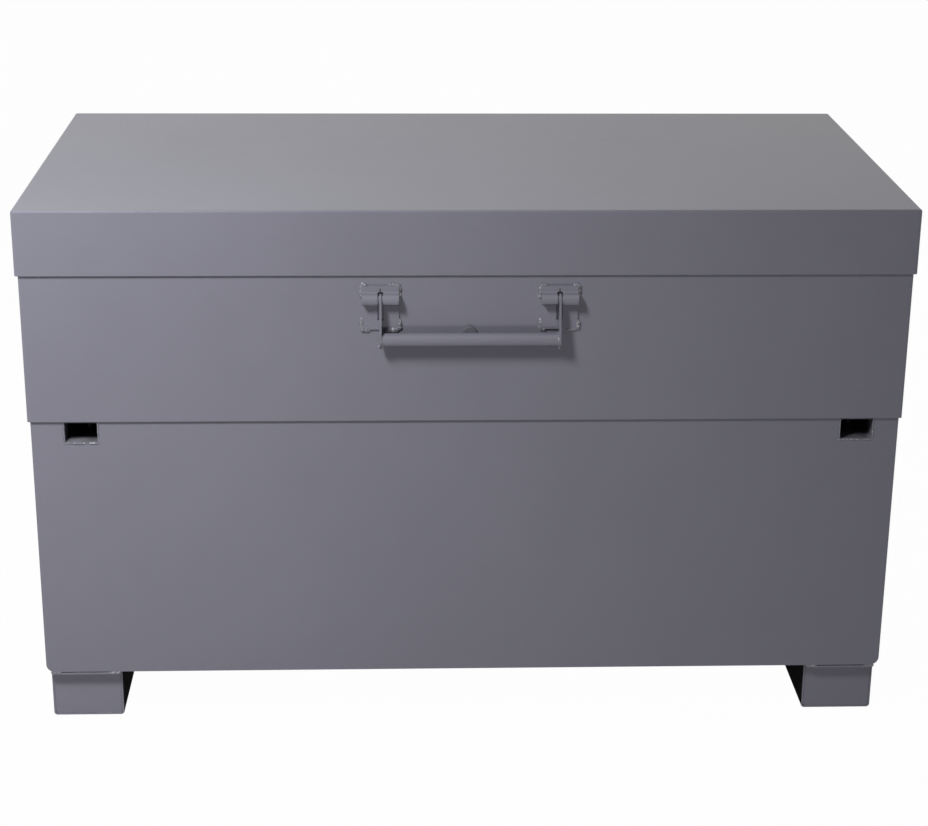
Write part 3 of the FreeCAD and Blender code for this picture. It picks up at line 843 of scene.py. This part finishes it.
@dataclass
class Workshop:
    """The loaded frame, the finishes and the steps that every piece goes through."""

    frame: dict
    edge: float = 0.35 * MM
    edge_steps: int = 2
    merge: float = 0.005 * MM
    flat_angle: float = math.radians(0.6)
    flat_weight: int = 100
    count: int = 0
    finishes: dict[Slot, bpy.types.Material] = field(init=False)
    # Black painted shade for faces that look under the box.
    under_shade: bpy.types.Material = field(init=False)

    def __post_init__(self) -> None:
        """Mix every finish once."""
        steel = TurnedMetal("plated_steel", dark=(0.40, 0.40, 0.41), light=(0.56, 0.56, 0.57),
                            smoothest=0.272, roughest=0.425)
        chrome = TurnedMetal("hard_chrome", dark=(0.56, 0.57, 0.59), light=(0.64, 0.65, 0.67),
                             smoothest=0.072, roughest=0.1125)
        finishes = {Slot.COAT: PowderCoat(), Slot.STEEL: steel, Slot.CHROME: chrome, Slot.GLOSS: Lacquer(),
                    Slot.RUBBER: MouldedRubber()}
        self.finishes = {slot: finish.material() for slot, finish in finishes.items()}
        self.under_shade = PaintedUnderShade().material()

    def deliver(self, piece: Piece, carrier: Carrier, slot: Slot = Slot.COAT, nodes: tuple[str, ...] = (),
                material: bpy.types.Material | None = None) -> None:
        """Give a piece its finish and hand it to the body that carries it.

        Args:
            piece: The piece, in place.
            carrier: The body that it rides on.
            slot: The record's material slot.
            nodes: Construction nodes that it stands for.
            material: A finish other than the slot's own.
        """
        piece.data.materials.clear()
        piece.data.materials.append(material or self.finishes[slot])
        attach(piece, carrier.value)
        if nodes:
            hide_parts(*nodes)
        self.count += 1
        LOG.info("%s on %s, %d faces", piece.name, carrier.value, len(piece.data.polygons))

    def dress(self, node: str, suffix: str, carrier: Carrier, edge: float | None = None,
              slot: Slot = Slot.COAT, material: bpy.types.Material | None = None) -> Piece:
        """Put a copy of a construction node with broken edges and clean shading in its place.

        Args:
            node: The construction node.
            suffix: What is added to its name.
            carrier: The body that the copy rides on.
            edge: Width of the broken edges, or None for the usual one.
            slot: The record's material slot.
            material: A finish other than the slot's own.

        Returns:
            The copy.
        """
        bm = bmesh.new()
        bm.from_mesh(self.frame["nodes"][node].data)
        bmesh.ops.remove_doubles(bm, verts=bm.verts, dist=self.merge)
        bmesh.ops.dissolve_limit(bm, angle_limit=self.flat_angle, verts=bm.verts, edges=bm.edges)
        piece = moulded(f"{node}_{suffix}", bm)
        piece.data.shade_smooth()
        bevel = piece.modifiers.new("edge", "BEVEL")
        bevel.width = edge or self.edge
        bevel.segments = self.edge_steps
        bevel.limit_method = "ANGLE"
        bevel.angle_limit = SHARP_ANGLE
        weighted = piece.modifiers.new("normals", "WEIGHTED_NORMAL")
        weighted.weight = self.flat_weight
        weighted.keep_sharp = True
        self.deliver(applied(piece), carrier, slot, (node,), material)
        return piece


@dataclass
class WeldShop:
    """Collects weld seams and spot welds for each body and lays them with Geometry Nodes."""

    shop: Workshop
    pitch_share: float = 0.7
    length_share: float = 0.95
    jitter: float = 0.25
    ring_steps: int = 24
    spot_radius: float = 2.6 * MM
    spot_height: float = 0.25 * MM
    seams: dict[tuple[Carrier, float], list[list[Vector]]] = field(default_factory=dict)
    spots: dict[Carrier, list[Vector]] = field(default_factory=dict)

    def seam(self, carrier: Carrier, points: list[Vector], bead: float) -> None:
        """Note a seam along a run of points."""
        self.seams.setdefault((carrier, bead), []).append(points)

    def ring(self, carrier: Carrier, centre: Vector, axis: Vector, radius: float, bead: float) -> None:
        """Note a closed seam round an axis."""
        rim = [centre + spoke * radius for spoke in spokes(axis, self.ring_steps)]
        self.seam(carrier, [*rim, rim[0]], bead)

    def stitches(self, carrier: Carrier, start: Vector, end: Vector, bead: float, length: float,
                 pitch: float) -> None:
        """Note a row of short seams along a line.

        Args:
            carrier: The body that the seams ride on.
            start: One end of the line.
            end: Its other end.
            bead: Radius of the beads.
            length: Length of each seam.
            pitch: About how far apart the seams' middles are.
        """
        half = (end - start).normalized() * length / 2.0
        for place in spaced(start, end, pitch):
            self.seam(carrier, [place - half, place + half], bead)

    def spot_row(self, carrier: Carrier, start: Vector, end: Vector, pitch: float) -> None:
        """Note a row of spot welds along a line."""
        self.spots.setdefault(carrier, []).extend(spaced(start, end, pitch))

    def lay(self) -> None:
        """Make one piece of beads for each body and bead size, and one of spot welds for each body."""
        coat = WeldCoat().material()
        tree = weld_tree()
        for number, ((carrier, bead), runs) in enumerate(self.seams.items()):
            points: list[Vector] = []
            edges: list[tuple[int, int]] = []
            for run in runs:
                first = len(points)
                points.extend(run)
                edges.extend((first + i, first + i + 1) for i in range(len(run) - 1))
            piece = mesh_from(f"weld_beads_{carrier.value}_{number}", points, edges)
            grown(piece, tree, Pitch=bead * self.pitch_share, Width=bead, Length=bead * self.length_share,
                  Jitter=self.jitter, Seed=number + 1, Material=coat)
            self.shop.deliver(piece, carrier, material=coat)
        tree = spot_tree()
        paint = self.shop.finishes[Slot.COAT]
        for carrier, places in self.spots.items():
            piece = mesh_from(f"spot_welds_{carrier.value}", places)
            grown(piece, tree, Radius=self.spot_radius, Height=self.spot_height, Material=paint)
            self.shop.deliver(piece, carrier)


# ---- Sub-assemblies ----

@dataclass
class SubAssembly:
    """A group of pieces, with the workshop that finishes them and the weld shop that joins them."""

    shop: Workshop
    welds: WeldShop

    def build(self) -> None:
        """Build the pieces and note their welds."""
        raise NotImplementedError


@dataclass
class Lid(SubAssembly):
    """Cap, front band, cheeks and stiffeners of the lid."""

    bead: float = 1.3 * MM
    stitch: float = 22.0 * MM
    stitch_pitch: float = 110.0 * MM
    corner_bead: float = 0.8 * MM
    corner_start: float = 5.0 * MM
    sheet: float = 1.9 * MM
    stiffeners: int = 2
    flange_middle: float = 6.0 * MM
    spot_pitch: float = 75.0 * MM

    def build(self) -> None:
        """Dress the lid's sheets and note their welds."""
        for node in ("lid_cap", "lid_front_band", "lid_cheek_left", "lid_cheek_right", "lid_stiffeners"):
            self.shop.dress(node, "sheet", Carrier.LID)
        self.weld_cheeks()
        self.weld_stiffeners()

    def weld_cheeks(self) -> None:
        """Stitch the cheeks to the cap from inside and to the band at the corner."""
        for side in Side:
            low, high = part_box("lid_cheek_" + side.word)
            x = low.x if side is Side.RIGHT else high.x
            front = Vector((x, low.y, high.z))
            self.welds.stitches(Carrier.LID, front, Vector((x, high.y, high.z)), self.bead, self.stitch,
                                self.stitch_pitch)
            foot = Vector((x, low.y, low.z + self.corner_start))
            self.welds.seam(Carrier.LID, [foot, front], self.corner_bead)

    def weld_stiffeners(self) -> None:
        """Spot-weld the stiffeners' flanges to the cap."""
        low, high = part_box("lid_stiffeners")
        cap_low, cap_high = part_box("lid_cap")
        spacing = (cap_high.y - cap_low.y) / (self.stiffeners + 1)
        width = high.y - low.y - spacing * (self.stiffeners - 1)
        z = high.z - self.sheet
        for i in range(self.stiffeners):
            y0 = low.y + i * spacing
            for y in (y0 + self.flange_middle, y0 + width - self.flange_middle):
                start, end = Vector((low.x, y, z)), Vector((high.x, y, z))
                self.welds.spot_row(Carrier.LID, start, end, self.spot_pitch)


@dataclass
class Body(SubAssembly):
    """Wrapper, end panels and rest pads of the body."""

    sheet: float = 1.9 * MM
    # Height below which faces that look down get the black painted shade.
    under: float = 80.0 * MM
    downwards: float = 0.7
    bead: float = 1.3 * MM
    stitch: float = 30.0 * MM
    stitch_pitch: float = 90.0 * MM
    rim_clearance: float = 40.0 * MM
    floor_clearance: float = 12.0 * MM
    pad_rim: float = 0.22
    pad_rim_steps: int = 6
    pad_draft: float = 0.97
    dimple_rim: float = 0.35
    dimple_floor: float = 0.25
    dimple_depth: float = 0.5

    def build(self) -> None:
        """Dress the body's sheets, note their welds and turn the rest pads."""
        wrapper = self.shop.dress("body_wrapper", "sheet", Carrier.BODY)
        # Wrapper faces that look down near the floor get black painted shade.
        paint_faces(wrapper, self.shop.under_shade,
                    lambda face: face.normal.z < -self.downwards and face.center.z < self.under)
        self.shop.dress("front_panel", "sheet", Carrier.BODY)
        self.shop.dress("back_panel", "sheet", Carrier.BODY)
        self.weld_corners()
        self.rest_pads()

    def weld_corners(self) -> None:
        """Run a bead down each inside corner of the body."""
        low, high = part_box("body_wrapper")
        front_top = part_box("front_panel")[1].z
        for side in Side:
            x = (high.x if side is Side.RIGHT else low.x) - side.value * self.sheet
            for y, rim in ((low.y, front_top), (high.y, high.z)):
                foot = Vector((x, y, low.z + self.floor_clearance))
                self.welds.stitches(Carrier.BODY, foot, Vector((x, y, rim - self.rim_clearance)), self.bead,
                                    self.stitch, self.stitch_pitch)

    def rest_pads(self) -> None:
        """Turn the rubber buttons that the lid comes down to."""
        low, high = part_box("lid_rest_pads")
        radius = (high.y - low.y) / 2.0
        profile = self.pad_profile(radius, high.z - low.z)
        y = (low.y + high.y) / 2.0
        places = [Vector((x, y, low.z)) for x in (low.x + radius, high.x - radius)]
        pads = [turned("pad", profile, place, Z_AXIS) for place in places]
        self.shop.deliver(joined("rest_pads_moulded", pads), Carrier.BODY, Slot.RUBBER, ("lid_rest_pads",))

    def pad_profile(self, radius: float, height: float) -> Profile:
        """Half section of a rubber button with a rounded rim and a shallow dimple.

        Args:
            radius: The button's radius.
            height: Its height.

        Returns:
            Points as (distance along the axis, radius).
        """
        edge = min(radius, height) * self.pad_rim
        rim = rounded_rim(height, radius * self.pad_draft, edge, self.pad_rim_steps)
        floor = height - edge * self.dimple_depth
        dimple = [(height, radius * self.dimple_rim), (floor, radius * self.dimple_floor), (floor, 0.0)]
        return [(0.0, 0.0), (0.0, radius), *rim, *dimple]


@dataclass
class ContinuousHinge(SubAssembly):
    """Continuous hinge with fine rolled knuckles on a long pin."""

    knuckles: int = 45
    gap: float = 0.4 * MM
    running: float = 0.05 * MM
    leaf_clearance: float = 0.8 * MM
    pin_edge: float = 0.5 * MM
    pin_steps: int = 32
    bead: float = 1.3 * MM
    stitch: float = 25.0 * MM
    stitch_pitch: float = 120.0 * MM

    def build(self) -> None:
        """Build both leaves and the pin, and note the weld of the body's leaf."""
        tree = hinge_tree()
        self.leaf(tree, "hinge_body_leaf", Carrier.BODY, 0)
        self.leaf(tree, "hinge_lid_leaf", Carrier.LID, 1)
        low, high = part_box("hinge_pin")
        centre = middle("hinge_pin")
        profile = round_ended(high.x - low.x, (high.z - low.z) / 2.0, self.pin_edge)
        pin = turned("hinge_pin_drawn", profile, Vector((low.x, centre.y, centre.z)), X_AXIS, self.pin_steps)
        self.shop.deliver(pin, Carrier.BODY, Slot.STEEL, ("hinge_pin",))
        low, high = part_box("hinge_body_leaf")
        self.welds.stitches(Carrier.BODY, Vector((low.x, low.y, high.z)), Vector((high.x, low.y, high.z)),
                            self.bead, self.stitch, self.stitch_pitch)

    def leaf(self, tree: GeometryTree, node: str, carrier: Carrier, first: int) -> None:
        """Build one leaf: knuckles on every second place and the strip above them.

        Args:
            tree: The hinge's Geometry Nodes tree.
            node: The construction node that it replaces.
            carrier: The body that it rides on.
            first: Place of its first knuckle, 0 or 1.
        """
        low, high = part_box(node)
        pin_low, pin_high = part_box("hinge_pin")
        centre = middle("hinge_pin")
        bore = (pin_high.z - pin_low.z) / 2.0 + self.running
        wall = centre.z - low.z - bore
        pitch = (high.x - low.x) / self.knuckles
        y0 = low.y if carrier is Carrier.BODY else high.y - wall
        strip_foot = centre.z + bore + wall + self.leaf_clearance
        places = [(low.x + pitch * (i + 0.5), centre.y, centre.z) for i in range(first, self.knuckles, 2)]
        row = mesh_from("row", places)
        grown(row, tree, Bore=bore, Wall=wall, Length=pitch - self.gap, Rise=strip_foot - centre.z,
              Offset=y0 + wall / 2.0 - centre.y, Material=self.shop.finishes[Slot.COAT])
        strip = plate("strip", Vector((low.x, y0, strip_foot)), Vector((high.x, y0 + wall, high.z)))
        self.shop.deliver(joined(node + "_rolled", [row, strip]), carrier, Slot.COAT, (node,))


@dataclass(frozen=True)
class CornerSeams:
    """Lengths of the seams round the corners of one base plate, each as (along the edge, down the side)."""

    top_left: tuple[float, float]
    top_right: tuple[float, float]
    low_left: tuple[float, float]
    low_right: tuple[float, float]


@dataclass
class LiftHandle(SubAssembly):
    """Swinging bar handle with its base plates, keepers, pins and stop button."""

    corner_bead: float = 3.7 * MM
    corner_radius: float = 2.5 * MM
    corner_steps: int = 4
    bar_bead: float = 2.8 * MM
    bar_steps: int = 72
    ring_inset: float = 2.2 * MM
    foot_bead: float = 2.6 * MM
    plate_edge: float = 0.5 * MM
    pin_edge: float = 0.8 * MM
    button_rim: float = 0.08
    button_rim_steps: int = 6
    # Colours of the stop button, darker than the coat: painted shade behind the bar.
    button_shaded_dark: Point = (0.098, 0.097, 0.115)
    button_shaded_light: Point = (0.115, 0.114, 0.135)
    seams: tuple[CornerSeams, CornerSeams] = (
        CornerSeams((2 * MM, 12 * MM), (9 * MM, 16 * MM), (7 * MM, 11 * MM), (12 * MM, 11 * MM)),
        CornerSeams((4 * MM, 13 * MM), (2 * MM, 14 * MM), (2 * MM, 9 * MM), (10 * MM, 9 * MM)),
    )

    def build(self) -> None:
        """Build the handle and note its welds."""
        for node, carrier in (("handle_bases", Carrier.LID), ("handle_keepers", Carrier.LID),
                              ("handle_arms", Carrier.HANDLE)):
            self.shop.dress(node, "formed", carrier, self.plate_edge)
        self.bar()
        self.pins()
        self.stop_button()
        self.weld_bases()

    def arm_middles(self) -> tuple[float, float]:
        """Find the two arms.

        Returns:
            X places of their middles.
        """
        arms_low, arms_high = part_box("handle_arms")
        bar_low, bar_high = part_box("handle_bar")
        return (arms_low.x + bar_low.x) / 2.0, (arms_high.x + bar_high.x) / 2.0

    def width(self, node: str) -> float:
        """Width of one of the two like pieces of a node, one on each arm.

        Args:
            node: The construction node.

        Returns:
            The width.
        """
        low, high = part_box(node)
        left, right = self.arm_middles()
        return high.x - low.x - (right - left)

    def bar(self) -> None:
        """Turn the round bar and weld its ends to the arms."""
        low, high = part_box("handle_bar")
        radius = (high.z - low.z) / 2.0
        centre = middle("handle_bar")
        length = high.x - low.x
        profile = [(0.0, 0.0), (0.0, radius), (length, radius), (length, 0.0)]
        bar = turned("handle_bar_drawn", profile, Vector((low.x, centre.y, centre.z)), X_AXIS, self.bar_steps)
        self.shop.deliver(bar, Carrier.HANDLE, Slot.COAT, ("handle_bar",))
        for x in (low.x, high.x):
            end = Vector((x, centre.y, centre.z))
            self.welds.ring(Carrier.HANDLE, end, X_AXIS, radius - self.ring_inset, self.bar_bead)
        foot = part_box("handle_arms")[0].z
        reach = Y_AXIS * self.foot_bead
        for x in self.arm_middles():
            tip = Vector((x, centre.y, foot + self.foot_bead / 2.0))
            self.welds.seam(Carrier.HANDLE, [tip - reach, tip + reach], self.foot_bead)

    def pins(self) -> None:
        """Turn the pivot pins."""
        low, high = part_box("handle_pins")
        length = self.width("handle_pins")
        profile = round_ended(length, (high.z - low.z) / 2.0, self.pin_edge)
        centre = middle("handle_pins")
        places = [Vector((x, centre.y, centre.z)) for x in (low.x, high.x - length)]
        pins = [turned("pin", profile, place, X_AXIS) for place in places]
        self.shop.deliver(joined("handle_pins_turned", pins), Carrier.LID, Slot.COAT, ("handle_pins",))

    def stop_button(self) -> None:
        """Turn the stop button behind the bar, in grey rubber coloured darker than the coat: painted shade
        where the band behind the bar lies dark.
        """
        low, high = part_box("handle_bumper")
        radius = (high.x - low.x) / 2.0
        height = high.y - low.y
        rim = rounded_rim(height, radius, min(radius, height) * self.button_rim, self.button_rim_steps)
        centre = middle("handle_bumper")
        button = turned("handle_stop_button", [(0.0, 0.0), (0.0, radius), *rim, (height, 0.0)],
                        Vector((centre.x, high.y, centre.z)), -Y_AXIS)
        rubber = MouldedRubber("grey_rubber_painted_shade", self.button_shaded_dark, self.button_shaded_light).material()
        self.shop.deliver(button, Carrier.LID, Slot.COAT, ("handle_bumper",), rubber)

    def weld_bases(self) -> None:
        """Weld the base plates to the band round their corners."""
        low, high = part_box("handle_bases")
        width = self.width("handle_bases")
        for x0, seams in zip((low.x, high.x - width), self.seams):
            x1 = x0 + width
            for x, z, across, up, legs in ((x0, high.z, 1.0, -1.0, seams.top_left),
                                           (x1, high.z, -1.0, -1.0, seams.top_right),
                                           (x0, low.z, 1.0, 1.0, seams.low_left),
                                           (x1, low.z, -1.0, 1.0, seams.low_right)):
                self.weld_corner(Vector((x, high.y, z)), across, up, legs)

    def weld_corner(self, corner: Vector, across: float, up: float, legs: tuple[float, float]) -> None:
        """Note a seam round one corner of a base plate.

        Args:
            corner: The plate's corner, on the band.
            across: 1 where the plate lies to the right of the corner, -1 where it lies to the left.
            up: 1 where the plate lies above the corner, -1 where it lies below.
            legs: How far the seam runs along the edge and down the side.
        """
        radius = self.corner_radius
        centre = corner + Vector((across * radius, 0.0, up * radius))
        points = [corner + Vector((across * (legs[0] + radius), 0.0, 0.0))]
        for i in range(self.corner_steps + 1):
            angle = QUARTER_TURN * i / self.corner_steps
            spoke = Vector((across * radius * math.sin(angle), 0.0, up * radius * math.cos(angle)))
            points.append(centre - spoke)
        points.append(corner + Vector((0.0, 0.0, up * (legs[1] + radius))))
        self.welds.seam(Carrier.LID, points, self.corner_bead)


@dataclass
class LockPockets(SubAssembly):
    """Recessed padlock pockets with staple and tongue."""

    tube_edge: float = 0.3 * MM
    plate_edge: float = 0.5 * MM
    seam_inset: float = 1.2 * MM
    seam_depth: float = 0.2 * MM
    fine_bead: float = 1.2 * MM
    tack_bead: float = 1.9 * MM
    tacks: tuple[tuple[float, float], ...] = ((0.3, 0.58), (0.76, 0.94))
    root_bead: float = 1.8 * MM
    root_start: float = 2.0 * MM
    root_end: float = 36.0 * MM

    def build(self) -> None:
        """Dress the lock parts and note their welds."""
        # Pockets and staples take the coat with painted shade that darkens deeper behind the front.
        painted_shade = CoatWithPaintedRecessShade().material()
        for hand in (side.word for side in Side):
            self.shop.dress("lock_pocket_" + hand, "tube", Carrier.BODY, self.tube_edge, material=painted_shade)
            self.shop.dress("lock_staple_" + hand, "cut", Carrier.BODY, self.plate_edge, material=painted_shade)
            self.shop.dress("lock_tongue_" + hand, "cut", Carrier.LID, self.plate_edge)
            self.weld_mouth("lock_pocket_" + hand)
            self.weld_root("lock_tongue_" + hand)

    def weld_mouth(self, node: str) -> None:
        """Weld the tube's mouth to the front panel: a fine bead round it and heavier tacks below.

        Args:
            node: The pocket's construction node.
        """
        low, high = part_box(node)
        y = low.y + self.seam_depth
        x0, x1 = low.x + self.seam_inset, high.x - self.seam_inset
        z0, z1 = low.z + self.seam_inset, high.z - self.seam_inset
        corners = [Vector((x, y, z)) for x, z in ((x0, z1), (x0, z0), (x1, z0), (x1, z1))]
        self.welds.seam(Carrier.BODY, corners, self.fine_bead)
        for tack in self.tacks:
            ends = [Vector((low.x + (high.x - low.x) * share, y, z0)) for share in tack]
            self.welds.seam(Carrier.BODY, ends, self.tack_bead)

    def weld_root(self, node: str) -> None:
        """Weld the tongue's root to the band on both faces.

        Args:
            node: The tongue's construction node.
        """
        low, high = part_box(node)
        for x in (low.x, high.x):
            ends = [Vector((x, low.y, high.z - down)) for down in (self.root_start, self.root_end)]
            self.welds.seam(Carrier.LID, ends, self.root_bead)


@dataclass
class Skids(SubAssembly):
    """Fork skids with their end plates."""

    edge: float = 0.5 * MM
    inwards: float = 0.6
    side_bead: float = 2.0 * MM
    stitch: float = 40.0 * MM
    stitch_pitch: float = 130.0 * MM
    lip_bead: float = 1.9 * MM
    lip_seam: float = 12.0 * MM
    lip_inset: float = 1.2 * MM
    side_plate: float = 3.0 * MM

    def build(self) -> None:
        """Dress the skids and note their welds."""
        for side in Side:
            piece = self.shop.dress("skid_" + side.word, "sheet", Carrier.BODY, self.edge)
            # Faces of the skid that look inwards, under the box, get black painted shade.
            paint_faces(piece, self.shop.under_shade,
                        lambda face, hand=side.value: face.normal.x * hand < -self.inwards)
        self.shop.dress("skid_ends", "sheet", Carrier.BODY, self.edge)
        for side in Side:
            self.weld_skid("skid_" + side.word)

    def weld_skid(self, node: str) -> None:
        """Stitch a skid to the floor and weld the corners of its end plates' lips.

        Args:
            node: The skid's construction node.
        """
        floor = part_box("body_wrapper")[0].z
        ends_low, ends_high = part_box("skid_ends")
        low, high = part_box(node)
        for x in (low.x, high.x):
            self.welds.stitches(Carrier.BODY, Vector((x, low.y, floor)), Vector((x, high.y, floor)),
                                self.side_bead, self.stitch, self.stitch_pitch)
        left, right = low.x + self.side_plate, high.x - self.side_plate
        for y in (ends_low.y + self.lip_inset, ends_high.y - self.lip_inset):
            for span in ((left, left + self.lip_seam), (right - self.lip_seam, right)):
                self.welds.seam(Carrier.BODY, [Vector((x, y, ends_high.z)) for x in span], self.lip_bead)


@dataclass
class GasStruts(SubAssembly):
    """Gas struts with their brackets, pins and clips."""

    bracket_edge: float = 0.4 * MM
    turned_edge: float = 0.5 * MM
    clip_width: float = 2.2 * MM
    clip_plate: float = 1.0 * MM
    clip_inset: float = 1.4 * MM
    pin_length: float = 18.5 * MM
    one_pin_at_most: float = 100.0 * MM

    def build(self) -> None:
        """Dress both struts and their brackets, and clip their pins."""
        tree = clip_tree()
        self.shop.dress("strut_foot_brackets", "sheet", Carrier.BODY, self.bracket_edge)
        self.shop.dress("strut_head_brackets", "sheet", Carrier.LID, self.bracket_edge)
        self.shop.dress("strut_foot_pins", "turned", Carrier.BODY, self.turned_edge, Slot.STEEL)
        for side, rod, tube in ((Side.LEFT, Carrier.ROD_LEFT, Carrier.TUBE_LEFT),
                                (Side.RIGHT, Carrier.ROD_RIGHT, Carrier.TUBE_RIGHT)):
            pin = "strut_head_pin_" + side.word
            for node, carrier, slot in (("strut_rod_" + side.word, rod, Slot.CHROME),
                                        ("strut_tube_" + side.word, tube, Slot.GLOSS),
                                        (pin, tube, Slot.STEEL)):
                self.shop.dress(node, "turned", carrier, self.turned_edge, slot)
            self.clips(tree, pin, tube, [side])
        self.clips(tree, "strut_foot_pins", Carrier.BODY, list(Side))

    def clip_place(self, node: str, side: Side) -> Point:
        """Place of the clip on a pin's inner stub.

        Args:
            node: Construction node of the pin, or of both pins.
            side: Hand of the box that the pin is on.

        Returns:
            The clip's middle.
        """
        low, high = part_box(node)
        pin_length = self.pin_length if high.x - low.x > self.one_pin_at_most else high.x - low.x
        inner = high.x - pin_length if side is Side.RIGHT else low.x + pin_length
        return inner + side.value * self.clip_inset, (low.y + high.y) / 2.0, (low.z + high.z) / 2.0

    def clips(self, tree: GeometryTree, node: str, carrier: Carrier, sides: list[Side]) -> None:
        """Fit retaining clips at the inner ends of some pins.

        Args:
            tree: The clips' Geometry Nodes tree.
            node: Construction node of the pins.
            carrier: The body that they ride on.
            sides: Hands of the box that they are on.
        """
        low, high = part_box(node)
        piece = mesh_from(node + "_clips", [self.clip_place(node, side) for side in sides])
        grown(piece, tree, Radius=(high.z - low.z) / 2.0, Width=self.clip_width, Thickness=self.clip_plate,
              Material=self.shop.finishes[Slot.STEEL])
        self.shop.deliver(piece, carrier, Slot.STEEL)


# ---- Studio ----

@dataclass(frozen=True)
class Lamp:
    """A square soft box, which may be left out of reflections."""

    name: str
    place: Point
    aim: Point
    size: float
    power: float
    mirrored: bool = True

    def hang(self) -> None:
        """Put the lamp up and turn it to its aim."""
        data = bpy.data.lights.new(self.name, "AREA")
        data.shape = "SQUARE"
        data.size = self.size
        data.energy = self.power
        lamp = placed(self.name, data)
        lamp.location = self.place
        lamp.visible_glossy = self.mirrored
        lamp.rotation_euler = (Vector(self.aim) - Vector(self.place)).to_track_quat("-Z", "Y").to_euler()


@dataclass
class Studio:
    """Camera, floor, surroundings and lamps."""

    lens: float = 81.05
    sensor: float = 36.0
    camera_place: Point = (-0.1133, -3.0149, 1.4499)
    turn_x: float = 0.3462
    turn_y: float = 0.0086
    turn_z: float = 0.0397
    floor_size: float = 14.0
    floor_colour: Point = (0.4, 0.4, 0.41)
    white_share: float = 0.985
    floor_gloss: float = 0.72
    backdrop_gloss: float = 0.6
    world_strength: float = 0.03
    lamps: tuple[Lamp, ...] = (
        Lamp("key_lamp", (-0.8, -1.4, 1.9), (-1.75, -0.3, 0.4), 0.45, 46.0, mirrored=False),
        Lamp("glint_lamp", (-0.8, -1.4, 1.9), (-1.75, -0.3, 0.4), 0.45, 16.0),
        Lamp("top_lamp", (-1.2, 0.2, 2.2), (-0.9, 0.0, 0.75), 1.0, 2.5),
        Lamp("rear_top_lamp", (-0.9, 0.95, 1.5), (-0.6, 0.3, 0.75), 0.6, 6.0, mirrored=False),
        Lamp("back_lamp", (0.4, 2.6, 0.38), (0.0, 0.3, 0.38), 0.66, 24.0, mirrored=False),
        Lamp("right_lamp", (2.8, 0.25, 0.38), (0.6, 0.0, 0.38), 0.66, 12.0, mirrored=False),
        Lamp("left_lamp", (-2.8, 0.25, 0.38), (-0.6, 0.0, 0.38), 0.66, 18.0, mirrored=False),
    )

    def build(self) -> None:
        """Set up the whole studio."""
        bpy.context.scene.view_settings.view_transform = "Standard"
        self.camera()
        self.floor()
        self.world()
        for lamp in self.lamps:
            lamp.hang()

    def camera(self) -> None:
        """Place the camera by its three turns."""
        data = bpy.data.cameras.new("camera")
        data.lens = self.lens
        data.sensor_width = self.sensor
        camera = placed("camera", data)
        right, forward, up = (Matrix.Rotation(self.turn_y, 3, "Y") @ Matrix.Rotation(self.turn_x, 3, "X")
                              @ Matrix.Rotation(self.turn_z, 3, "Z"))
        turn = Matrix((right, up, -forward)).transposed().to_4x4()
        camera.matrix_world = Matrix.Translation(self.camera_place) @ turn
        bpy.context.scene.camera = camera

    def background(self, tree: NodeBuilder, plain: Socket, kind: str, seen: float, mirrored: float) -> Socket:
        """White for camera, glossy and transmission rays, and the plain shader for all others.

        Args:
            tree: The node tree.
            plain: Shader for the other rays.
            kind: Node type of the white shader.
            seen: How much of the white covers the plain shader for the camera.
            mirrored: How much of it does so for glossy and transmission rays.

        Returns:
            The mixed shader.
        """
        rays = tree.node("ShaderNodeLightPath").outputs
        camera, glossy, through = (tree.maths("MULTIPLY", rays[name], part) for name, part in (
            ("Is Camera Ray", seen), ("Is Glossy Ray", mirrored), ("Is Transmission Ray", mirrored)))
        share = tree.maths("MAXIMUM", tree.maths("MAXIMUM", camera, glossy), through)
        white = tree.node(kind, {"Color": WHITE, "Strength": 1.0}).outputs[0]
        return tree.node("ShaderNodeMixShader", {0: share, 1: plain, 2: white}).outputs[0]

    def floor(self) -> None:
        """Lay the pale floor."""
        half = self.floor_size / 2.0
        corners = [(-half, -half, 0.0), (half, -half, 0.0), (half, half, 0.0), (-half, half, 0.0)]
        floor = mesh_from("floor", corners, faces=[[0, 1, 2, 3]])
        material = bpy.data.materials.new("floor_paper")
        material.use_nodes = True
        material.node_tree.nodes.clear()
        tree = NodeBuilder(material.node_tree)
        paper = tree.node("ShaderNodeBsdfDiffuse", {"Color": (*self.floor_colour, 1.0)}).outputs[0]
        mixed = self.background(tree, paper, "ShaderNodeEmission", self.white_share, self.floor_gloss)
        tree.node("ShaderNodeOutputMaterial", {"Surface": mixed})
        floor.data.materials.append(material)

    def world(self) -> None:
        """Surround the box with soft light that looks white."""
        world = bpy.data.worlds.new("surroundings")
        world.use_nodes = True
        world.node_tree.nodes.clear()
        tree = NodeBuilder(world.node_tree)
        soft = tree.node("ShaderNodeBackground", {"Color": WHITE, "Strength": self.world_strength}).outputs[0]
        mixed = self.background(tree, soft, "ShaderNodeBackground", 1.0, self.backdrop_gloss)
        tree.node("ShaderNodeOutputWorld", {"Surface": mixed})
        bpy.context.scene.world = world


def main() -> None:
    """Load the frame, dress every sub-assembly and set up the studio."""
    logging.basicConfig(level=logging.INFO, format="%(message)s")
    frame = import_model()
    shop = Workshop(frame)
    welds = WeldShop(shop)
    for assembly in (Body, Skids, LockPockets, ContinuousHinge, Lid, LiftHandle, GasStruts):
        LOG.info("Building %s", assembly.__name__)
        assembly(shop, welds).build()
    welds.lay()
    Studio().build()
    LOG.info("%d pieces", shop.count)


if __name__ == "__main__":
    main()
